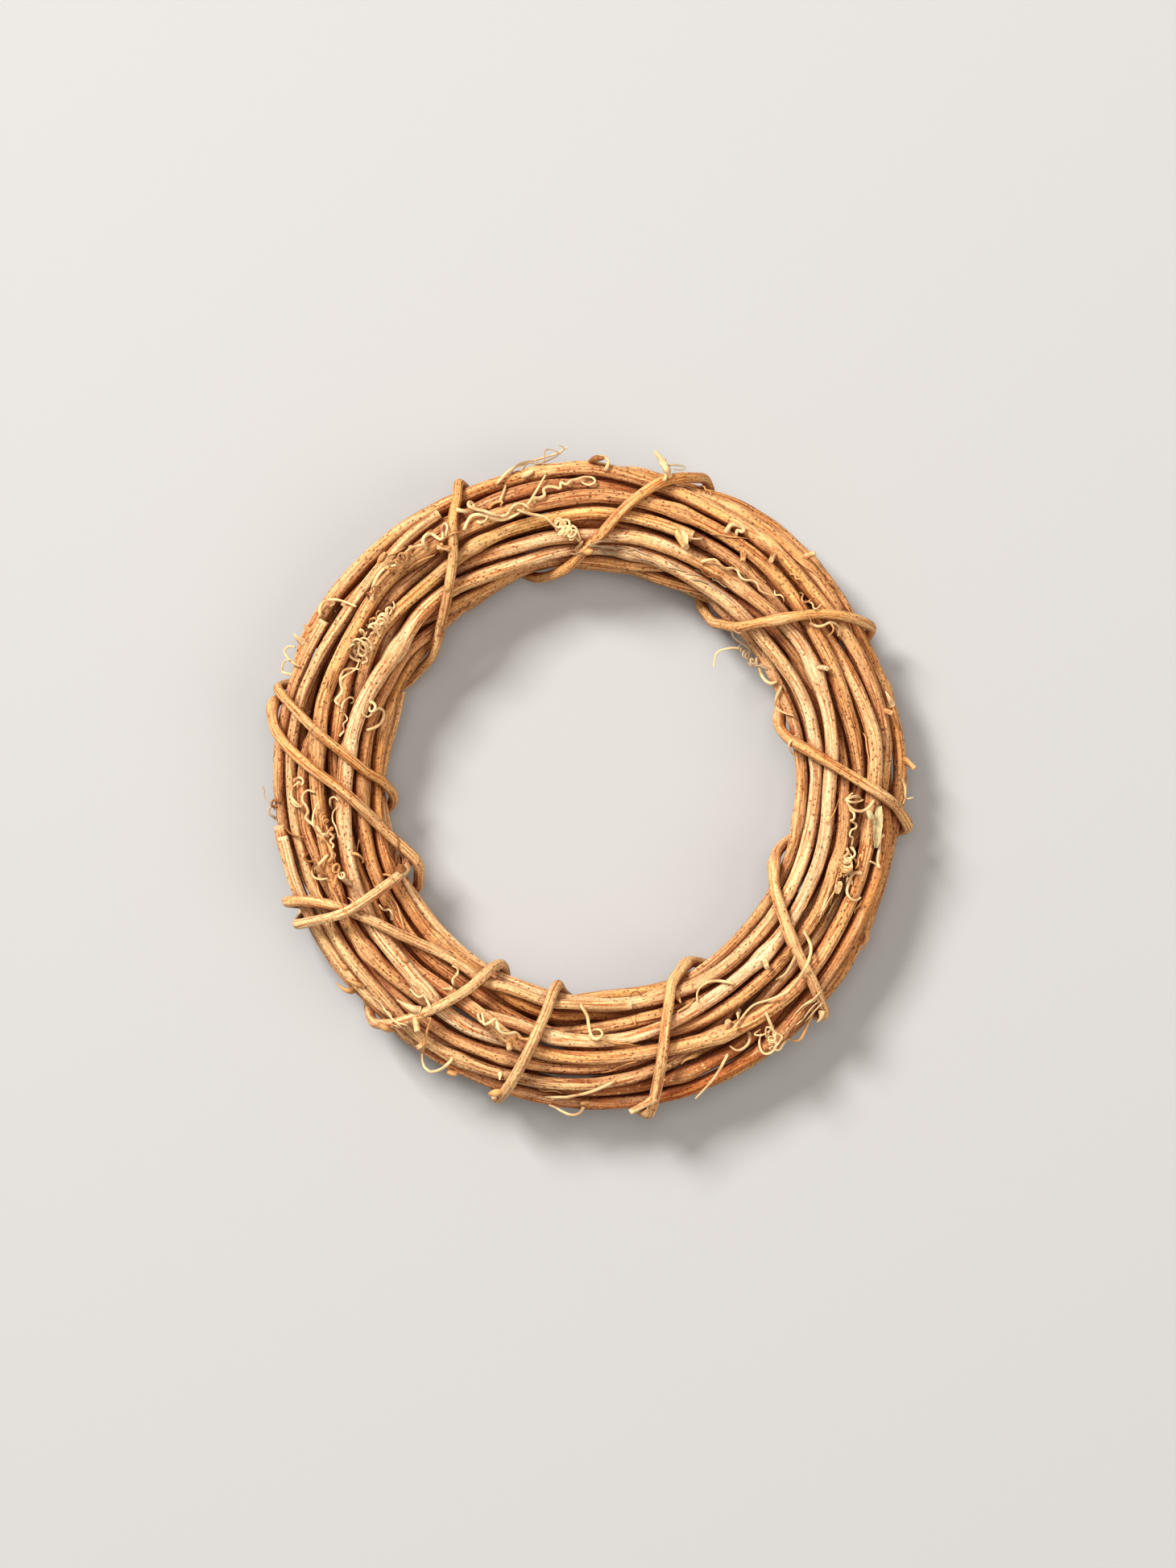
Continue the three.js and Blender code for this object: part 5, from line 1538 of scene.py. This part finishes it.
@dataclass
class SmallGrowth:
    """Curly tendrils, buds, thorns and loose bark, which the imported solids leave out."""

    sweeper: StemSweeper
    ground: Ground
    skin: bpy.types.Material
    slope: float = 0.9
    # A shoot rises from its root to its lift, waves a little, and has a collar at the root
    rise_length: float = 2.6 * MM
    wave: float = 0.25
    wave_length: float = 2.2 * MM
    root_depth: float = 0.5
    root_length: float = 1.3 * MM
    collar: float = 0.45
    collar_length: float = 0.9 * MM
    # How high its middle lies over the skin, in radii: knobs are half grown in
    seat: float = 0.9
    knob_seat: float = 0.2
    light: tuple[float, float] = (0.84, 1.06)
    drift: float = 0.09
    drift_marks: int = 6
    first_seed: int = 41
    frays: tuple[Fray, ...] = (
        Fray(352, 392, 71.5, 75.5, 20, Tone.ASH),
        Fray(20, 50, 78, 96, 6, Tone.STRAW),
        Fray(108, 114, 80, 84, 4, Tone.CREAM),
        Fray(130, 133, 94, 98, 5, Tone.CREAM),
        Fray(160, 200, 80, 97, 6, Tone.STRAW),
        Fray(215, 221, 92, 97, 6, Tone.CREAM),
        Fray(230, 300, 74, 98, 10, Tone.STRAW),
        Fray(244, 250, 63, 66, 5, Tone.BROWN),
        Fray(312, 350, 88, 97, 7, Tone.STRAW),
        Fray(60, 130, 74, 98, 9, Tone.STRAW),
    )

    def build(self) -> list[bpy.types.Object]:
        """Build every group.

        Returns:
            One piece for each group.
        """
        seed = np.random.default_rng(self.first_seed)
        groups = {name: list(map(Shoot.read, rows.split(";"))) for name, rows in GROWTH.items()}
        groups["loose_bark_strips"] = [shoot for fray in self.frays for shoot in fray.shoots(seed)]
        pieces = []
        for name, shoots in groups.items():
            dressed = [self._dressed(shoot, seed) for shoot in shoots]
            pieces.append(self.sweeper.sweep(name, dressed, self.sweeper.shoots, self.skin))
        return pieces

    def _dressed(self, shoot: Shoot, seed: np.random.Generator) -> Dressed:
        """Lay one shoot over the vines.

        Args:
            shoot: The shoot.
            seed: Random numbers.

        Returns:
            Its course, the linear tone and the paleness of each point.
        """
        style = self.sweeper.shoots
        radius = shoot.size * MM / 2
        length = 2 * math.pi * shoot.coils * shoot.reach * MM
        flat = curved(self.ground.rooted(shoot.corners()), style.spacing)
        if length > len(flat) * style.spacing:
            flat = evened(flat, int(length / style.spacing))
        run, tops, lying = self.ground.under(flat, radius, self.slope)
        share = run / run[-1]
        wave = self.wave * np.sin(run / self.wave_length + seed.uniform(0.0, 6.0))
        over = np.clip(run / self.rise_length, 0.0, 1.0) * shoot.lift * MM * (1 - self.wave + wave)
        seat = self.knob_seat if shoot.form is Form.KNOB else self.seat
        heights = lying + radius * seat + over
        root = self.ground.top(flat[0])
        sunk = (tops[0] if math.isnan(root) else root) - self.root_depth * radius
        heights = heights - (heights[0] - sunk) * np.exp(-((run / self.root_length) ** 2))
        points = np.column_stack([flat, heights])
        if shoot.coils:
            points = points + self._coil(shoot, flat, share)
        radii = radius * self._taper(shoot.form, share, run)
        course = Course(points, radii, Stem.TENDRIL).eased(style.spacing, style.blur)
        count = len(course.points)
        tone = np.tile(linear(shoot.tone.value), (count, 1))
        marks = np.linspace(0.0, 1.0, self.drift_marks)
        drift = seed.normal(1.0, self.drift, self.drift_marks)
        drift = np.interp(np.linspace(0.0, 1.0, count), marks, drift)[:, None]
        tone[:, :3] = np.clip(tone[:, :3] * drift * seed.uniform(*self.light), 0.0, 1.0)
        return course, tone, np.zeros(count)

    def _coil(self, shoot: Shoot, flat: np.ndarray, share: np.ndarray) -> np.ndarray:
        """Wind a way into coils.

        Args:
            shoot: The shoot, with its coils.
            flat: Its way seen from the front.
            share: Share of the length at each place.

        Returns:
            What is added to each place.
        """
        ahead = np.gradient(flat, axis=0)
        ahead /= np.linalg.norm(ahead, axis=1)[:, None]
        aside = np.column_stack([-ahead[:, 1], ahead[:, 0]])
        # Real coils are never alike, so these differ in their spacing and their width
        coils, reach = shoot.coils, shoot.reach
        uneven = 0.09 * np.sin(9.4 * share + 5 * reach) + 0.05 * np.sin(23 * share + coils)
        turn = 2 * math.pi * coils * (share + uneven)
        wide = reach * MM * np.clip(share * 6, 0.0, 1.0) * (1 - 0.35 * share)
        wide = wide * (1 + 0.34 * np.sin(17 * share + 3 * reach))
        moved = aside * (np.cos(turn) * wide)[:, None]
        moved = moved + ahead * (np.sin(turn) * wide)[:, None] * 0.7
        return np.column_stack([moved, (1 + np.sin(turn + 0.8)) * wide * 0.7])

    def _taper(self, form: Form, share: np.ndarray, run: np.ndarray) -> np.ndarray:
        """Thickness along a shoot, as a share of its size.

        Args:
            form: Shape of the shoot.
            share: Share of the length at each place.
            run: Length at each place.

        Returns:
            The share of the size at each place.
        """
        if form is Form.KNOB:
            return 0.36 + 0.6 * np.sin(math.pi * (0.1 + 0.8 * share)) ** 1.4
        if form is Form.THORN:
            return 0.22 + 1.1 * (1 - share) ** 1.2
        if form is Form.STRIP:
            return 0.55 + 0.5 * np.sin(math.pi * np.clip(share, 0.02, 0.98))
        return (1 - 0.4 * share**2) * (1 + self.collar * np.exp(-run / self.collar_length))


@dataclass(frozen=True)
class Husk:
    """A dry scrap of leaf or bract.

    Base and tip are degrees clockwise and millimetres out, width and lift are millimetres, and
    fold is how much its sides rise, as a share of half the width.
    """

    base: tuple[float, float]
    tip: tuple[float, float]
    width: float
    fold: float
    lift: float
    tone: Tone = Tone.HUSK


@dataclass
class HuskScraps:
    """Scraps of husk caught among the vines, folded lengthwise and curled at the rim."""

    ground: Ground
    skin: bpy.types.Material
    thickness: float = 0.35 * MM
    curl: float = 0.35 * MM
    root_depth: float = 0.9 * MM
    ragged: float = 0.07
    reach: float = 0.3
    slope: float = 0.5
    pattern_step: float = 31 * MM
    rows: int = 16
    columns: int = 8
    first_seed: int = 7
    husks: tuple[Husk, ...] = (
        Husk((93.6, 89.2), (102.0, 90.0), 2.5, 0.75, 0.6),
        Husk((94.6, 85.6), (97.4, 88.2), 1.7, 0.6, 1.0),
        Husk((19.6, 84.2), (21.4, 80.2), 1.7, 1.1, 1.2, Tone.CREAM),
        Husk((110.6, 82.0), (113.4, 82.8), 2.0, 0.8, 0.6, Tone.CREAM),
        Husk((247.8, 65.0), (246.0, 62.6), 2.2, 0.8, 0.2, Tone.BROWN),
    )

    def build(self) -> bpy.types.Object:
        """Build the scraps.

        Returns:
            One piece that holds them all.
        """
        seed = np.random.default_rng(self.first_seed)
        corners, faces, grains, tones = [], [], [], []
        for number, husk in enumerate(self.husks):
            skin, grain = self._leaf(husk, seed)
            grain[:, 1] += number * self.pattern_step
            base = len(corners)
            corners.extend(skin.tolist())
            faces.extend([base + i for i in face] for face in self._faces())
            grains.append(grain)
            tones.append(np.tile(linear(husk.tone.value), (len(skin), 1)))
        mesh = bpy.data.meshes.new("husk_scraps")
        mesh.from_pydata(corners, [], faces)
        store(mesh, "grain", "FLOAT_VECTOR", grains)
        store(mesh, "tone", "FLOAT_COLOR", tones)
        mesh.materials.append(self.skin)
        mesh.polygons.foreach_set("use_smooth", [True] * len(mesh.polygons))
        return shown("husk_scraps", mesh)

    def _leaf(self, husk: Husk, seed: np.random.Generator) -> tuple[np.ndarray, np.ndarray]:
        """Upper and lower skin of one scrap.

        Args:
            husk: The scrap.
            seed: Random numbers.

        Returns:
            Corner places, and their places on the flat leaf.
        """
        start, end = on_ring(*husk.base), on_ring(*husk.tip)
        flat = evened(np.array([start, (start + end) / 2, end]), self.rows)
        ahead = (end - start) / np.linalg.norm(end - start)
        aside = np.array([-ahead[1], ahead[0]])
        run, _, lying = self.ground.under(flat, self.reach * husk.width * MM, self.slope)
        ragged = seed.normal(0.0, self.ragged, (self.rows, 2))
        upper, grain = [], []
        for i, place in enumerate(flat):
            share = i / (self.rows - 1)
            # Narrow at the base, broad in the middle, and drawn in at the tip
            plump = 0.18 + math.sin(math.pi * min(share * 0.86 + 0.1, 1.0)) ** 0.7
            wide = husk.width * MM / 2 * plump
            rise = husk.lift * MM * math.sin(math.pi * share * 0.75)
            for j in range(self.columns):
                v = 2 * j / (self.columns - 1) - 1
                edge = wide * (1 + ragged[i, 0 if v < 0 else 1] * abs(v))
                cup = husk.fold * wide * abs(v) ** 1.6
                curl = self.curl * math.sin(5 * share + 2 * v)
                height = lying[i] + self.thickness + rise + cup + curl
                x, y = place + aside * v * edge
                upper.append((x, y, height if i else height - self.root_depth))
                grain.append((v * edge, run[i], 0.0))
        lower = np.array(upper) - np.array([0.0, 0.0, self.thickness])
        return np.vstack([upper, lower]), np.array(grain + grain)

    def _faces(self) -> list[tuple[int, ...]]:
        """Join the corners of one scrap.

        Returns:
            Corner numbers of its faces, outwards all round.
        """
        wide, layer = self.columns, self.rows * self.columns
        faces = []
        for i in range(self.rows - 1):
            for j in range(wide - 1):
                a = i * wide + j
                faces.append((a, a + wide, a + wide + 1, a + 1))
                faces.append((layer + a, layer + a + 1, layer + a + wide + 1, layer + a + wide))
        rim = list(range(wide))
        rim += [i * wide + wide - 1 for i in range(1, self.rows)]
        rim += [(self.rows - 1) * wide + j for j in range(wide - 2, -1, -1)]
        rim += [i * wide for i in range(self.rows - 2, 0, -1)]
        for a, b in zip(rim, rim[1:] + rim[:1]):
            faces.append((a, b, layer + b, layer + a))
        return faces


@dataclass(frozen=True)
class Lamp:
    """A square soft light that faces the ring, with its side in metres and its power in watts."""

    name: str
    place: tuple[float, float, float]
    side: float
    power: float
    colour: str

    def build(self) -> None:
        """Make the lamp."""
        data = bpy.data.lights.new(self.name, "AREA")
        data.size = self.side
        data.energy = self.power
        data.color = linear(self.colour)[:3]
        lamp = shown(self.name, data)
        lamp.location = self.place
        lamp.rotation_euler = (-Vector(self.place)).to_track_quat("-Z", "Y").to_euler()


@dataclass
class Studio:
    """Pale floor, soft light from the upper left, and the camera straight above the ring."""

    distance: float = 1.6
    crown: float = 22 * MM
    frame_width: float = 365 * MM
    sensor: float = 36.0
    floor: str = "#aeb3bb"
    floor_half: float = 2.5
    floor_roughness: float = 0.9
    room: str = "#ffeeda"
    room_strength: float = 0.2
    lamps: tuple[Lamp, ...] = (
        Lamp("key", (-1.9, 2.0, 2.8), 1.15, 229.0, "#fff5e8"),
        Lamp("fill", (2.2, -0.9, 2.6), 2.2, 44.0, "#fff0de"),
        Lamp("top", (0.0, 0.4, 3.4), 1.6, 46.0, "#fff3e2"),
    )

    def build(self) -> None:
        """Make the floor, the lights and the camera."""
        scene = bpy.context.scene
        scene.view_settings.view_transform = "Standard"
        self._floor()
        for lamp in self.lamps:
            lamp.build()
        scene.world = bpy.data.worlds.new("soft_room")
        scene.world.use_nodes = True
        sky = scene.world.node_tree.nodes["Background"].inputs
        sky["Color"].default_value = linear(self.room)
        sky["Strength"].default_value = self.room_strength
        data = bpy.data.cameras.new("photo_camera")
        data.sensor_fit = "HORIZONTAL"
        data.sensor_width = self.sensor
        data.lens = self.sensor * self.distance / self.frame_width
        data.clip_end = 10.0
        camera = shown("photo_camera", data)
        # The ring's middle is 4 pixels right of and 4.5 below the picture's, at 0.25 mm a pixel
        middle = RING_MIDDLE + np.array([-1.0, 1.125, 0.0]) * MM
        camera.location = (middle[0], middle[1], self.distance + self.crown)
        scene.camera = camera

    def _floor(self) -> None:
        """Make the floor."""
        mesh = bpy.data.meshes.new("floor")
        half = self.floor_half
        corners = [(-half, -half, 0), (half, -half, 0), (half, half, 0), (-half, half, 0)]
        mesh.from_pydata(corners, [], [(0, 1, 2, 3)])
        # Matt painted board, which gives back a soft, even light
        finish = bpy.data.materials.new("pale_matt_board")
        finish.use_nodes = True
        shader = finish.node_tree.nodes["Principled BSDF"].inputs
        shader["Base Color"].default_value = linear(self.floor)
        shader["Roughness"].default_value = self.floor_roughness
        mesh.materials.append(finish)
        floor = shown("floor", mesh)


def main() -> None:
    """Build the wreath and its studio."""
    logging.basicConfig(level=logging.INFO, format="%(name)s: %(message)s")
    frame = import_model()
    Studio().build()
    slots = {part["node"]: Slot(part["material_slot"]) for part in frame["record"]["subparts"]}
    # The second colour of each finish is that of its dark fibres and of the painted shade in the
    # low parts of its ridges
    barks = {
        Slot.PALE: BarkFinish(Slot.PALE, "#b47832", "#f8e0bc", "#eed3a8", "#7a3c14", 0.5),
        Slot.TAN: BarkFinish(Slot.TAN, "#aa6226", "#f4d0a2", "#e8c596", "#6a300e", 0.6),
        Slot.BROWN: BarkFinish(Slot.BROWN, "#98501d", "#ecbc88", "#e2ba88", "#52250a", 0.62),
        Slot.RUST: BarkFinish(Slot.RUST, "#8c4918", "#d89a60", "#e2b680", "#f4c994", 0.42),
        Slot.BINDER: BarkFinish(Slot.BINDER, "#b26c2a", "#f5d3a2", "#efcf9e", "#854416", 0.4),
    }
    finishes = {slot: bark.material() for slot, bark in barks.items()}
    tendril = TendrilFinish().material()
    sweeper = StemSweeper()
    sweeper.prepare()
    vines = WoundVines(sweeper, finishes, tendril)
    reader = CourseReader()
    pieces = []
    for name, node in frame["nodes"].items():
        courses = reader.read(node)
        piece = vines.build(name, slots[name], courses)
        pieces.append(piece)
        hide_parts(name)
        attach(piece, "root")
        LOG.info("%s: %d stems, %d faces", piece.name, len(courses), len(piece.data.polygons))
    ground = Ground.of(pieces)
    extras = SmallGrowth(sweeper, ground, tendril).build()
    extras.append(HuskScraps(ground, HuskFinish().material()).build())
    for piece in extras:
        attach(piece, "root")
        LOG.info("%s: %d faces", piece.name, len(piece.data.polygons))
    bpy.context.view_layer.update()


if __name__ == "__main__":
    main()
